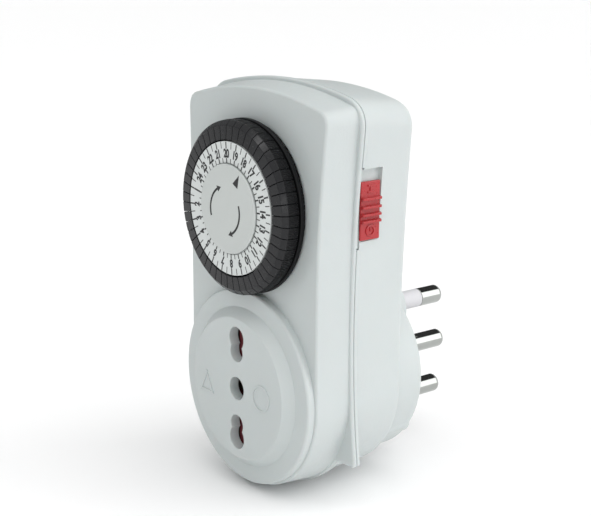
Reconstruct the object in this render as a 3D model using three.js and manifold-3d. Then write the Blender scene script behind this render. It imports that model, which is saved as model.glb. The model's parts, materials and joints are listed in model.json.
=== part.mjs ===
// Plug-in programmable timer: a two-part casing with an outlet on the front and a plug on the
// back, a tappet dial turned by a small motor and a reduction gear, and a microswitch.
// Millimetres. The origin is the earth pin's axis on the plug face, +Y runs along the pins into
// the wall, +Z is up and the front of the timer faces -Y.

import * as THREE from "three";
import { mergeVertices } from "three/addons/utils/BufferGeometryUtils.js";
import Module from "manifold-3d";

const wasm = await Module();
wasm.setup();

// ---- Driving dimensions ------------------------------------------------------------------

// Planes across the depth, from the wall side to the front.
const PLUG_FACE_Y = 0;
const BOSS_RIM_Y = -8.6;
const REAR_FACE_Y = -17.6;
const PARTING_Y = -35.1;
const FLANGE_FRONT_Y = -36.3;
const FRONT_FACE_Y = -46;
const OUTLET_RING_Y = -48.1;
const OUTLET_FACE_Y = -50.6;
const CASING_GAP = 0.15;
const CROWN_DROP = 1.495;
const CROWN_START_Z = 20;

const WALL = 2;
const REAR_END_RADIUS = 26;
const FRONT_END_RADIUS = 25.6;
const LIP_END_RADIUS = 26.7;
const WING_Z = -15.9;
const WING_CORNER_RADIUS = 1;
const REAR_LIP_THICKNESS = 1;
const BOSS_RADIUS = 23.4;
const REAR_EDGE_RADIUS = 2;
const NOSE_HALF_WIDTH = 8;
const NOSE_HALF_HEIGHT = 21;

// Plug and outlet, to the 10 A plug and the double-width outlet standard.
const PIN_PITCH = 13;
const PIN_RADIUS = 2.5;
const PIN_LENGTH = 19;
const EARTH_PIN_LENGTH = 20.2;
const PIN_CORE_RADIUS = 1.8;
const PIN_HEAD_RADIUS = 3.6;
const PIN_HEAD_Y = -11;
const PIN_END_Y = -14;
const SLEEVE_LENGTH = 11;
const PIN_HOLE_RADIUS = 2.8;
const OUTLET_RADIUS = 25;
const OUTLET_FACE_RADIUS = 18.15;
const OUTLET_BEVEL_RADIUS = 20.4;
const WIDE_HOLE_RADIUS = 2.9;
const NARROW_HOLE_RADIUS = 2.5;
const NARROW_HOLE_Z = 9.5;
const HOLE_DEPTH_Y = -46;
const COLLAR_BACK_Y = -47.75;
const COLLAR_HALF_WIDTH = 5.2;
const COLLAR_HALF_HEIGHT = 18;

// Dial.
const DIAL_Z = 45.83;
const TAPPETS = 48;
const LOOSE_TAPPETS = 12;
const TAPPET_STEP = (2 * Math.PI) / TAPPETS;
const TAPPET_GAP = 0.3;
const TAPPET_INNER_RADIUS = 16.6;
const TAPPET_FRONT_Y = -52.4;
const TAPPET_BACK_Y = -47.8;
const STEM_RADIUS = 18.6;
const STEM_DEPTH = 2;
const STEM_WIDTH = 1;
const STEM_BACK_Y = -44.3;
const STEM_CLEARANCE = 0.25;
const DIAL_RADIUS = 21.43;
const WEB_FRONT_Y = -47.5;
const WEB_BACK_Y = -46.3;
const NUMBER_RING_RADIUS = 16.25;
const NUMBER_RING_Y = -52.44;
const DISC_RADIUS = 10.9;
const DISC_Y = -53.05;
const WELL_RADIUS = 20.6;
const WELL_FLOOR_Y = -42.7;
const HUB_RADIUS = 5;
const HUB_END_RADIUS = 4.1;
const SPINDLE_RADIUS = 2;
const RUNNING_CLEARANCE = 0.08;

// Gear train.
const DIAL_GEAR_TEETH = 48;
const DIAL_GEAR_MODULE = 0.6;
const REDUCTION_PINION_TEETH = 10;
const REDUCTION_WHEEL_TEETH = 40;
const MOTOR_MODULE = 0.5;
const MOTOR_PINION_TEETH = 10;
const REDUCTION_ANGLE = THREE.MathUtils.degToRad(237);
const MOTOR_ANGLE = THREE.MathUtils.degToRad(64);
const CENTRE_DISTANCE_PLAY = 0.1;
const GEAR_PLATE_FRONT_Y = -32.6;
const GEAR_PLATE_BACK_Y = -31.2;
const MOTOR_RADIUS = 15.5;
const MOTOR_FRONT_Y = -30.8;
const MOTOR_BACK_Y = -20.2;

// Override slider on the right-hand side.
const SLOT_FRONT_Y = -34.5;
const SLOT_BACK_Y = -28.1;
const SLOT_LOW_Z = 39.9;
const SLOT_HIGH_Z = 57.3;
const SLOT_FLOOR_X = 25.1;
const SLIDER_FACE_X = 27.1;
const SLIDER_FRONT_Y = -34.4;
const SLIDER_BACK_Y = -28.35;
const SLIDER_LOW_Z = 40.2;
const SLIDER_HEIGHT = 14;
const RIB_RISE = 0.9;
const RIB_HEIGHTS = [4.5, 6.1, 7.9, 9.9];

// Shutter behind the outlet holes.
const SHUTTER_FRONT_Y = -45.9;
const SHUTTER_BACK_Y = -44.4;
const SHUTTER_PAD_FRONT_Y = -47.45;
const SHUTTER_LEFT_X = -11;
const SHUTTER_RIGHT_X = 4.8;
const SHUTTER_HALF_HEIGHT = 16.9;

const CARRIER_FRONT_Y = -43.6;
const CARRIER_BACK_Y = -32.3;
const BAR_THICKNESS = 0.8;
const SCREW_PLACES = [
  { name: "casing_screw_top_left", x: -20, z: 64 },
  { name: "casing_screw_top_right", x: 20, z: 64 },
  { name: "casing_screw_bottom_left", x: -16, z: -12 },
  { name: "casing_screw_bottom_right", x: 16, z: -12 },
];
const POST_RADIUS = 3.2;
const SCREW_RADIUS = 1.4;
const SCREW_HEAD_RADIUS = 2.6;

const ROUND = 32;
const SMALL_ROUND = 12;
const HOLE_ROUND = 24;
const OUTLINE_STEPS = 6;

// ---- Shape helpers -----------------------------------------------------------------------

function solidOf(geometry) {
  const bare = geometry.index ? geometry.toNonIndexed() : geometry.clone();
  bare.deleteAttribute("normal");
  bare.deleteAttribute("uv");
  const merged = mergeVertices(bare, 1e-4);
  return new wasm.Manifold(
    new wasm.Mesh({
      numProp: 3,
      vertProperties: merged.attributes.position.array,
      triVerts: new Uint32Array(merged.index.array),
    }),
  );
}

function geometryOf(solid) {
  const mesh = solid.getMesh();
  const geometry = new THREE.BufferGeometry();
  geometry.setAttribute("position", new THREE.BufferAttribute(mesh.vertProperties, 3));
  geometry.setIndex(new THREE.BufferAttribute(mesh.triVerts, 1));
  geometry.computeVertexNormals();
  return geometry;
}

// A front-view outline (X, Z) given depth between two Y planes.
function prismGeometry(shape, frontY, backY) {
  const geometry = new THREE.ExtrudeGeometry(shape, {
    depth: backY - frontY,
    bevelEnabled: false,
    curveSegments: OUTLINE_STEPS,
  });
  geometry.rotateX(Math.PI / 2);
  geometry.translate(0, backY, 0);
  return geometry;
}

function prism(shape, frontY, backY) {
  return solidOf(prismGeometry(shape, frontY, backY));
}

// A side-view outline (Y, Z) given width between two X planes.
function sidePrism(shape, leftX, rightX, curveSegments = OUTLINE_STEPS) {
  const depth = rightX - leftX;
  const geometry = new THREE.ExtrudeGeometry(shape, { depth, bevelEnabled: false, curveSegments });
  geometry.rotateX(Math.PI / 2);
  geometry.rotateZ(Math.PI / 2);
  geometry.translate(leftX, 0, 0);
  return solidOf(geometry);
}

// A profile of [radius, y] points, given from the wall side to the front, turned about a Y axis.
function turned(profile, segments = ROUND, x = 0, z = 0) {
  const points = profile.map(([radius, y]) => new THREE.Vector2(radius, y));
  const geometry = new THREE.LatheGeometry(points.reverse(), segments);
  geometry.translate(x, 0, z);
  return solidOf(geometry);
}

function rod(radius, frontY, backY, segments = SMALL_ROUND, x = 0, z = 0) {
  const profile = [[0, backY], [radius, backY], [radius, frontY], [0, frontY]];
  return turned(profile, segments, x, z);
}

function tube(outer, inner, frontY, backY, segments = ROUND, x = 0, z = 0) {
  const profile = [[inner, backY], [outer, backY], [outer, frontY], [inner, frontY], [inner, backY]];
  return turned(profile, segments, x, z);
}

function box(low, high) {
  const size = high.map((value, axis) => value - low[axis]);
  const geometry = new THREE.BoxGeometry(...size);
  geometry.translate(...low.map((value, axis) => value + size[axis] / 2));
  return solidOf(geometry);
}

function union(solids) {
  return solids.reduce((sum, solid) => sum.add(solid));
}

function cutAll(solid, tools) {
  return tools.reduce((left, tool) => left.subtract(tool), solid);
}

function polygon(points) {
  return new THREE.Shape(points.map(([x, y]) => new THREE.Vector2(x, y)));
}

function stadium(halfWidth, halfHeight) {
  const shape = new THREE.Shape();
  const straight = halfHeight - halfWidth;
  shape.absarc(0, straight, halfWidth, 0, Math.PI);
  shape.absarc(0, -straight, halfWidth, Math.PI, 2 * Math.PI);
  return shape;
}

function plastic(colour, roughness = 0.5) {
  return new THREE.MeshStandardMaterial({ color: colour, roughness, metalness: 0 });
}

function metal(colour, roughness = 0.3) {
  return new THREE.MeshStandardMaterial({ color: colour, roughness, metalness: 1 });
}

const part = new THREE.Group();

function addPiece(name, solid, material, parent = part) {
  const mesh = new THREE.Mesh(geometryOf(solid), material);
  mesh.name = name;
  parent.add(mesh);
  return mesh;
}

// ---- Casing outlines, seen from the front ------------------------------------------------

// Adds the right side, the arched top and the left side, to a shape that ends at side.foot.
function addSidesAndArch(shape, side) {
  const { foot, lowerPull, upperPull, shoulder, corner, arch, crownZ } = side;
  shape.bezierCurveTo(...lowerPull, ...upperPull, ...shoulder);
  shape.quadraticCurveTo(...corner, ...arch);
  shape.quadraticCurveTo(0, 2 * crownZ - arch[1], -arch[0], arch[1]);
  shape.quadraticCurveTo(-corner[0], corner[1], -shoulder[0], shoulder[1]);
  shape.bezierCurveTo(-upperPull[0], upperPull[1], -lowerPull[0], lowerPull[1], -foot[0], foot[1]);
}

function roundEndedOutline(side) {
  const shape = new THREE.Shape();
  shape.absarc(0, 0, side.foot[0], Math.PI, 2 * Math.PI);
  addSidesAndArch(shape, side);
  return shape;
}

const FRONT_SIDE = {
  foot: [FRONT_END_RADIUS, 0],
  lowerPull: [24.9, 24],
  upperPull: [25.4, 46],
  shoulder: [27, 67],
  corner: [27.2, 70.6],
  arch: [24, 71.2],
  crownZ: 74.4,
};

const FRONT_INNER_SIDE = {
  foot: [FRONT_END_RADIUS - WALL, 0],
  lowerPull: [22.9, 24],
  upperPull: [23.4, 46],
  shoulder: [24.8, 66],
  corner: [25, 68.8],
  arch: [22.5, 69.3],
  crownZ: 72.4,
};

const REAR_SIDE = {
  foot: [REAR_END_RADIUS, 0],
  lowerPull: [25.6, 20],
  upperPull: [26.4, 42],
  shoulder: [29.05, 67],
  corner: [29.2, 72.2],
  arch: [23, 73.6],
  crownZ: 76.05,
};

const REAR_INNER_SIDE = {
  foot: [REAR_END_RADIUS - WALL, 0],
  lowerPull: [23.7, 22],
  upperPull: [24.1, 46],
  shoulder: [25.2, 65],
  corner: [25.4, 69.4],
  arch: [21.5, 70.2],
  crownZ: 72.2,
};

const LIP_SIDE = {
  foot: [28.25, WING_Z + WING_CORNER_RADIUS],
  lowerPull: [24.9, 12.6],
  upperPull: [26.4, 40.2],
  shoulder: [29.2, 67],
  corner: [29.3, 72.4],
  arch: [23, 73.75],
  crownZ: 76.25,
};

// The lip round the parting plane: hourglass sides that end in a small wing on each lower corner.
function lipOutline() {
  const wingStartX = Math.sqrt(LIP_END_RADIUS ** 2 - WING_Z ** 2);
  const startAngle = Math.atan2(WING_Z, -wingStartX);
  const [footX] = LIP_SIDE.foot;
  const shape = new THREE.Shape();
  shape.absarc(0, 0, LIP_END_RADIUS, startAngle, -Math.PI - startAngle);
  shape.lineTo(footX - WING_CORNER_RADIUS, WING_Z);
  shape.quadraticCurveTo(footX, WING_Z, ...LIP_SIDE.foot);
  addSidesAndArch(shape, LIP_SIDE);
  shape.quadraticCurveTo(-footX, WING_Z, WING_CORNER_RADIUS - footX, WING_Z);
  return shape;
}

// A solid whose outline is scaled sideways and upwards by factors that depend on (y, z).
function tapered(geometry, scaleAt) {
  const places = geometry.attributes.position;
  for (let i = 0; i < places.count; i += 1) {
    const [sideways, upwards] = scaleAt(places.getY(i), places.getZ(i));
    places.setX(i, places.getX(i) * sideways);
    places.setZ(i, places.getZ(i) * upwards);
  }
  return solidOf(geometry);
}

// ---- Front casing ------------------------------------------------------------------------

// Larger than the casing on every side.
const REACH = 90;

// Everything behind the crowned front face.
function behindCrown(offset) {
  const frontY = FRONT_FACE_Y + offset;
  const crownTopZ = 80;
  const crownPullZ = 48;
  const shape = new THREE.Shape();
  shape.moveTo(frontY, -REACH);
  shape.lineTo(PARTING_Y, -REACH);
  shape.lineTo(PARTING_Y, crownTopZ);
  shape.lineTo(frontY + CROWN_DROP, crownTopZ);
  shape.quadraticCurveTo(frontY, crownPullZ, frontY, CROWN_START_Z);
  return sidePrism(shape, -REACH, REACH, 5);
}

function behind(y) {
  return box([-REACH, y, -REACH], [REACH, REACH, REACH]);
}

// The shell's outline grows from the face towards the lip, more at the top and at the bottom.
function frontScale(y, z) {
  const along = (y - FRONT_FACE_Y) / (FLANGE_FRONT_Y - FRONT_FACE_Y);
  const height = Math.max(0, z / 70);
  return [1 + along * (0.018 + 0.02 * height ** 2), 1 + along * (z < 0 ? 0.03 : 0.012)];
}

function outletHoles() {
  const front = OUTLET_FACE_Y - 1;
  const back = HOLE_DEPTH_Y;
  const holes = [rod(WIDE_HOLE_RADIUS, front, back, HOLE_ROUND)];
  for (const side of [-1, 1]) {
    holes.push(rod(WIDE_HOLE_RADIUS, front, back, HOLE_ROUND, 0, side * PIN_PITCH));
    holes.push(rod(NARROW_HOLE_RADIUS, front, back, HOLE_ROUND, 0, side * NARROW_HOLE_Z));
  }
  return holes;
}

function outletDisc() {
  return turned([
    [0, FRONT_FACE_Y + 1],
    [OUTLET_RADIUS, FRONT_FACE_Y + 1],
    [OUTLET_RADIUS, OUTLET_RING_Y + 0.5],
    [OUTLET_RADIUS - 0.5, OUTLET_RING_Y],
    [OUTLET_BEVEL_RADIUS, OUTLET_RING_Y],
    [OUTLET_FACE_RADIUS, OUTLET_FACE_Y],
    [0, OUTLET_FACE_Y],
  ], 40);
}

function outletHollow() {
  const innerFace = OUTLET_FACE_Y + WALL;
  return turned([
    [0, FRONT_FACE_Y + 3],
    [OUTLET_BEVEL_RADIUS, FRONT_FACE_Y + 3],
    [OUTLET_BEVEL_RADIUS, OUTLET_RING_Y + WALL],
    [OUTLET_FACE_RADIUS - 1, innerFace],
    [0, innerFace],
  ], ROUND);
}

function screwPost(place) {
  return rod(POST_RADIUS, FRONT_FACE_Y + 1.2, PARTING_Y - 0.4, SMALL_ROUND, place.x, place.z);
}

function screwHole(place) {
  return rod(SCREW_RADIUS + 0.2, FRONT_FACE_Y + 3, PARTING_Y + 1, SMALL_ROUND, place.x, place.z);
}

function leverWindow() {
  return box([17, WELL_FLOOR_Y - 1, DIAL_Z - 1.6], [20.2, WELL_FLOOR_Y + 3, DIAL_Z + 1.6]);
}

// A tongue on the lip that closes the front of the slider's slot, a little lower than the lip.
function slotTongue() {
  const innerX = 24.6;
  const backY = SLOT_FRONT_Y - CASING_GAP;
  const strip = box([innerX, PARTING_Y - 0.6, SLOT_LOW_Z - 1.5], [REACH, backY, SLOT_HIGH_Z + 0.2]);
  const outline = prism(lipOutline(), PARTING_Y - 1, backY + 1);
  return strip.intersect(outline.translate([-0.25, 0, 0]));
}

// The wall and floor of the well that the dial turns in.
function dialWell() {
  const radius = WELL_RADIUS + 1.4;
  const backY = WELL_FLOOR_Y + 1.4;
  const wall = tube(radius, WELL_RADIUS - 0.5, FRONT_FACE_Y + 1.5, backY, ROUND, 0, DIAL_Z);
  return wall.add(rod(radius, WELL_FLOOR_Y, backY, ROUND, 0, DIAL_Z));
}

function dialOpenings() {
  return [
    rod(WELL_RADIUS, FRONT_FACE_Y - 1, WELL_FLOOR_Y, ROUND, 0, DIAL_Z),
    rod(DIAL_RADIUS + 0.4, OUTLET_FACE_Y, FRONT_FACE_Y, ROUND, 0, DIAL_Z),
    rod(HUB_RADIUS + 0.8, FRONT_FACE_Y, WELL_FLOOR_Y + 3, ROUND, 0, DIAL_Z),
    leverWindow(),
  ];
}

function frontCasing() {
  const rimY = PARTING_Y - CASING_GAP;
  const outline = prismGeometry(roundEndedOutline(FRONT_SIDE), FRONT_FACE_Y, rimY);
  const outer = tapered(outline, frontScale).intersect(behindCrown(0));
  const lip = prism(lipOutline(), FLANGE_FRONT_Y, rimY);
  const hollow = prism(roundEndedOutline(FRONT_INNER_SIDE), FRONT_FACE_Y, PARTING_Y + 1)
    .intersect(behindCrown(WALL).add(behind(PARTING_Y - 1)))
    .add(outletHollow());
  const shell = union([outer, lip, outletDisc()]).subtract(hollow);
  const collarShape = stadium(COLLAR_HALF_WIDTH, COLLAR_HALF_HEIGHT);
  const collar = prism(collarShape, OUTLET_FACE_Y + 1, COLLAR_BACK_Y);
  const posts = SCREW_PLACES.map(screwPost);
  const built = union([shell, dialWell(), collar, ...posts, slotTongue()]);
  return cutAll(built, [...dialOpenings(), ...outletHoles(), ...SCREW_PLACES.map(screwHole)]);
}

// ---- Rear casing -------------------------------------------------------------------------

// The outline draws in towards the wall side, more at the top than at the round bottom.
function rearScale(y, z) {
  const along = Math.max(0, (y - PARTING_Y) / (REAR_FACE_Y - PARTING_Y));
  const height = Math.max(0, z / 70);
  return [1 - along * (0.028 + 0.03 * height ** 2), 1 - 0.024 * along];
}

// The rear shell without its hollow, with an edge rounded by two bevel steps.
function rearBlock() {
  const frontY = PARTING_Y - 2 * REAR_EDGE_RADIUS;
  const geometry = new THREE.ExtrudeGeometry(roundEndedOutline(REAR_SIDE), {
    depth: REAR_FACE_Y - frontY - 2 * REAR_EDGE_RADIUS,
    bevelEnabled: true,
    bevelSize: REAR_EDGE_RADIUS,
    bevelThickness: REAR_EDGE_RADIUS,
    bevelOffset: -REAR_EDGE_RADIUS,
    bevelSegments: 2,
    curveSegments: OUTLINE_STEPS,
  });
  geometry.rotateX(Math.PI / 2);
  geometry.translate(0, REAR_FACE_Y - REAR_EDGE_RADIUS, 0);
  return tapered(geometry, rearScale).intersect(behind(PARTING_Y));
}

function plugBoss() {
  return turned([
    [0, REAR_FACE_Y - 1],
    [BOSS_RADIUS, REAR_FACE_Y - 1],
    [BOSS_RADIUS, BOSS_RIM_Y - 0.8],
    [BOSS_RADIUS - 0.8, BOSS_RIM_Y],
    [0, BOSS_RIM_Y],
  ].reverse(), 40);
}

function screwTube(place) {
  const backY = place.z > 0 ? REAR_FACE_Y - 1 : BOSS_RIM_Y - 1;
  return rod(POST_RADIUS + 0.6, PARTING_Y + 0.4, backY, SMALL_ROUND, place.x, place.z);
}

function screwSeatY(place) {
  return (place.z > 0 ? REAR_FACE_Y : BOSS_RIM_Y) - 3;
}

function screwWay(place) {
  const seat = screwSeatY(place);
  const head = rod(SCREW_HEAD_RADIUS + 0.3, seat, seat + 6, SMALL_ROUND, place.x, place.z);
  return head.add(rod(SCREW_RADIUS + 0.3, PARTING_Y - 1, seat + 1, SMALL_ROUND, place.x, place.z));
}

function sliderSlot() {
  const innerX = 22;
  const lipZ = [SLOT_LOW_Z - 1.8, SLOT_HIGH_Z + 0.5];
  const pocket = box([SLOT_FLOOR_X, PARTING_Y - 1, SLOT_LOW_Z], [REACH, SLOT_BACK_Y, SLOT_HIGH_Z]);
  const lipNotch = box([innerX, PARTING_Y - 1, lipZ[0]], [REACH, SLOT_FRONT_Y, lipZ[1]]);
  const neckWay = box([innerX, -33.1, 44.7], [REACH, -29.6, 53.1]);
  return union([pocket, lipNotch, neckWay]);
}

// A thick place in the side wall that carries the slider's slot.
function slotPad() {
  return box([23.4, PARTING_Y + 0.3, SLOT_LOW_Z - 2], [26, SLOT_BACK_Y + 2, SLOT_HIGH_Z + 1.5]);
}

function rearCasing() {
  const lipBackY = PARTING_Y + REAR_LIP_THICKNESS;
  const lip = tapered(prismGeometry(lipOutline(), PARTING_Y, lipBackY), rearScale);
  const innerOutline = roundEndedOutline(REAR_INNER_SIDE);
  const hollow = tapered(prismGeometry(innerOutline, PARTING_Y - 1, REAR_FACE_Y - WALL), rearScale);
  const bossHollow = rod(BOSS_RADIUS - WALL, REAR_FACE_Y - 4, BOSS_RIM_Y - WALL, ROUND);
  const shell = cutAll(union([rearBlock(), lip, plugBoss()]), [hollow, bossHollow]);
  const nose = prism(stadium(NOSE_HALF_WIDTH, NOSE_HALF_HEIGHT), BOSS_RIM_Y - 1, PLUG_FACE_Y);
  const built = union([shell, nose, slotPad(), ...SCREW_PLACES.map(screwTube)]);
  const pinHoles = [-1, 0, 1].map((side) =>
    rod(PIN_HOLE_RADIUS, BOSS_RIM_Y - 4, PLUG_FACE_Y + 1, SMALL_ROUND, 0, side * PIN_PITCH));
  return cutAll(built, [...pinHoles, ...SCREW_PLACES.map(screwWay), sliderSlot()]);
}

// ---- Plug pins ---------------------------------------------------------------------------

function pinTip(radius, length) {
  return [
    [radius, length - 1.2],
    [radius - 0.35, length - 0.35],
    [radius - 1.1, length],
    [0, length],
  ];
}

function earthPin() {
  return turned([
    [0, PIN_END_Y],
    [PIN_HEAD_RADIUS, PIN_END_Y],
    [PIN_HEAD_RADIUS, PIN_HEAD_Y],
    [PIN_RADIUS, PIN_HEAD_Y],
    ...pinTip(PIN_RADIUS, EARTH_PIN_LENGTH),
  ].reverse(), SMALL_ROUND);
}

function linePin(z) {
  return turned([
    [0, PIN_END_Y],
    [PIN_HEAD_RADIUS, PIN_END_Y],
    [PIN_HEAD_RADIUS, PIN_HEAD_Y],
    [PIN_CORE_RADIUS, PIN_HEAD_Y],
    [PIN_CORE_RADIUS, SLEEVE_LENGTH + 0.1],
    [PIN_RADIUS, SLEEVE_LENGTH + 0.1],
    ...pinTip(PIN_RADIUS, PIN_LENGTH),
  ].reverse(), SMALL_ROUND, 0, z);
}

function pinSleeve(z) {
  return tube(PIN_RADIUS, PIN_CORE_RADIUS + 0.1, PIN_HEAD_Y + 0.3, SLEEVE_LENGTH, SMALL_ROUND, 0, z);
}

// ---- Dial, modelled about its own axis ---------------------------------------------------

function tappetRing() {
  return turned([
    [TAPPET_INNER_RADIUS, TAPPET_BACK_Y],
    [21.1, TAPPET_BACK_Y],
    [21.35, -49.6],
    [21.2, -51.05],
    [20, -52.1],
    [TAPPET_INNER_RADIUS, TAPPET_FRONT_Y],
    [TAPPET_INNER_RADIUS, TAPPET_BACK_Y],
  ], TAPPETS);
}

// A wedge of the dial, one tappet wide, with parallel gaps to its neighbours.
function wedge(angle) {
  const reach = 24;
  const near = TAPPET_INNER_RADIUS - 1;
  const halfNear = near * Math.tan(TAPPET_STEP / 2) - TAPPET_GAP / 2;
  const halfFar = reach * Math.tan(TAPPET_STEP / 2) - TAPPET_GAP / 2;
  const corners = [[near, -halfNear], [reach, -halfFar], [reach, halfFar], [near, halfNear]];
  const shape = polygon(corners.map(([r, t]) => turnPoint(r, t, angle)));
  return prism(shape, -54, TAPPET_BACK_Y + 0.1);
}

function turnPoint(radial, tangential, angle) {
  const cos = Math.cos(angle);
  const sin = Math.sin(angle);
  return [radial * cos - tangential * sin, radial * sin + tangential * cos];
}

function radialBar(angle, innerRadius, outerRadius, width, frontY, backY) {
  const half = width / 2;
  const corners = [[innerRadius, -half], [outerRadius, -half], [outerRadius, half], [innerRadius, half]];
  return prism(polygon(corners.map(([r, t]) => turnPoint(r, t, angle))), frontY, backY);
}

function stem(angle) {
  const inner = STEM_RADIUS - STEM_DEPTH / 2;
  return radialBar(angle, inner, inner + STEM_DEPTH, STEM_WIDTH, TAPPET_BACK_Y - 0.5, STEM_BACK_Y);
}

function stemSlot(angle) {
  const inner = STEM_RADIUS - STEM_DEPTH / 2 - STEM_CLEARANCE;
  const outer = STEM_RADIUS + STEM_DEPTH / 2 + STEM_CLEARANCE;
  return radialBar(angle, inner, outer, STEM_WIDTH + 2 * STEM_CLEARANCE, WEB_FRONT_Y - 1, WEB_BACK_Y + 1);
}

function tappetAngle(index) {
  return (index + 0.5) * TAPPET_STEP - (LOOSE_TAPPETS / 2) * TAPPET_STEP;
}

function tappet(ring, index) {
  const angle = tappetAngle(index);
  return ring.intersect(wedge(angle)).add(stem(angle));
}

// The tappets that stay put, joined by a hidden band behind their heads.
function tappetBank(ring) {
  const heads = [];
  for (let index = LOOSE_TAPPETS; index < TAPPETS; index += 1) heads.push(tappet(ring, index));
  const bandInner = STEM_RADIUS - STEM_DEPTH / 2;
  const band = tube(bandInner + STEM_DEPTH, bandInner, TAPPET_BACK_Y - 1, TAPPET_BACK_Y, TAPPETS);
  const shape = new THREE.Shape();
  const half = (LOOSE_TAPPETS / 2) * TAPPET_STEP;
  shape.moveTo(0, 0);
  shape.lineTo(...turnPoint(30, 0, -half - 0.01));
  shape.absarc(0, 0, 30, -half - 0.01, half + 0.01);
  const loosePart = prism(shape, -54, -46);
  return union(heads).add(band.subtract(loosePart));
}

function dialCarrier() {
  const hub = turned([
    [SPINDLE_RADIUS + RUNNING_CLEARANCE, -38],
    [HUB_END_RADIUS, -38],
    [HUB_END_RADIUS, -40.7],
    [HUB_RADIUS, -40.7],
    [HUB_RADIUS, WEB_BACK_Y],
    [DIAL_RADIUS, WEB_BACK_Y],
    [DIAL_RADIUS, WEB_FRONT_Y],
    [NUMBER_RING_RADIUS, WEB_FRONT_Y],
    [NUMBER_RING_RADIUS, NUMBER_RING_Y + 1.2],
    [SPINDLE_RADIUS + 2.6, NUMBER_RING_Y + 1.2],
    [SPINDLE_RADIUS + 2.6, -49.4],
    [SPINDLE_RADIUS + RUNNING_CLEARANCE, -49.4],
    [SPINDLE_RADIUS + RUNNING_CLEARANCE, -38],
  ], TAPPETS);
  const slots = [];
  for (let index = 0; index < TAPPETS; index += 1) slots.push(stemSlot(tappetAngle(index)));
  return cutAll(hub, slots);
}

function numberRing() {
  return tube(NUMBER_RING_RADIUS, 5.5, NUMBER_RING_Y, NUMBER_RING_Y + 1, 40);
}

function centreDisc() {
  const disc = rod(DISC_RADIUS, DISC_Y, NUMBER_RING_Y - 0.15, 40, 0, DIAL_Z);
  const socket = tube(4, SPINDLE_RADIUS + 0.1, DISC_Y + 0.3, -49.8, SMALL_ROUND, 0, DIAL_Z);
  return disc.add(socket);
}

function dialClip() {
  return tube(2.8, SPINDLE_RADIUS + 0.1, -37.8, -37.4, SMALL_ROUND, 0, DIAL_Z);
}

function dialSpindle() {
  return turned([
    [0, -30.9],
    [1.4, -30.9],
    [1.4, GEAR_PLATE_FRONT_Y - 0.2],
    [SPINDLE_RADIUS, GEAR_PLATE_FRONT_Y - 0.2],
    [SPINDLE_RADIUS, DISC_Y + 0.8],
    [0, DISC_Y + 0.8],
  ], SMALL_ROUND, 0, DIAL_Z);
}

// ---- Gears -------------------------------------------------------------------------------

function gearOutline(teeth, module, phase) {
  const pitchRadius = (teeth * module) / 2;
  const root = pitchRadius - 1.25 * module;
  const tip = pitchRadius + 0.9 * module;
  const step = (2 * Math.PI) / teeth;
  const halfAt = { root: 0.3, tip: 0.1 };
  const points = [];
  for (let tooth = 0; tooth < teeth; tooth += 1) {
    const middle = phase + tooth * step;
    const flank = [[root, -halfAt.root], [tip, -halfAt.tip]];
    const otherFlank = flank.map(([radius, share]) => [radius, -share]).reverse();
    for (const [radius, share] of [...flank, ...otherFlank]) {
      const angle = middle + share * step;
      points.push([radius * Math.cos(angle), radius * Math.sin(angle)]);
    }
  }
  return points;
}

function gear(teeth, module, phase, frontY, backY, place) {
  const outline = gearOutline(teeth, module, phase);
  return prism(polygon(outline.map(([x, z]) => [x + place.x, z + place.z])), frontY, backY);
}

function stepFrom(place, distance, angle) {
  return { x: place.x + distance * Math.cos(angle), z: place.z + distance * Math.sin(angle) };
}

const dialPlace = { x: 0, z: DIAL_Z };
const dialToReduction =
  ((DIAL_GEAR_TEETH + REDUCTION_PINION_TEETH) * DIAL_GEAR_MODULE) / 2 + CENTRE_DISTANCE_PLAY;
const reductionPlace = stepFrom(dialPlace, dialToReduction, REDUCTION_ANGLE);
const reductionToMotor =
  ((REDUCTION_WHEEL_TEETH + MOTOR_PINION_TEETH) * MOTOR_MODULE) / 2 + CENTRE_DISTANCE_PLAY;
const motorPlace = stepFrom(reductionPlace, reductionToMotor, MOTOR_ANGLE);

// The phase that puts a tooth space of the second gear on the line towards the first one.
function meshPhase(teeth, lineAngle) {
  return lineAngle + Math.PI + Math.PI / teeth;
}

function dialGear() {
  const blank = gear(DIAL_GEAR_TEETH, DIAL_GEAR_MODULE, REDUCTION_ANGLE, -40.4, -38.4, dialPlace);
  return blank.subtract(rod(HUB_END_RADIUS + 0.12, -41, -37, ROUND, dialPlace.x, dialPlace.z));
}

function reductionGear() {
  const { x, z } = reductionPlace;
  const pinionPhase = meshPhase(REDUCTION_PINION_TEETH, REDUCTION_ANGLE);
  const pinion = gear(REDUCTION_PINION_TEETH, DIAL_GEAR_MODULE, pinionPhase, -40.6, -37, reductionPlace);
  const wheel = gear(REDUCTION_WHEEL_TEETH, MOTOR_MODULE, MOTOR_ANGLE, -37.4, -35.9, reductionPlace);
  return pinion.add(wheel).subtract(rod(0.9 + RUNNING_CLEARANCE, -42, -34, SMALL_ROUND, x, z));
}

function reductionAxle() {
  return rod(0.9, -41, -30.9, SMALL_ROUND, reductionPlace.x, reductionPlace.z);
}

function motorRotor() {
  const { x, z } = motorPlace;
  const phase = meshPhase(MOTOR_PINION_TEETH, MOTOR_ANGLE);
  const pinion = gear(MOTOR_PINION_TEETH, MOTOR_MODULE, phase, -37.2, -34, motorPlace);
  const shaft = rod(1, -34.5, -21.5, SMALL_ROUND, x, z);
  const magnet = rod(6, -28.6, -22.6, 32, x, z);
  return union([pinion, shaft, magnet]);
}

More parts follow.
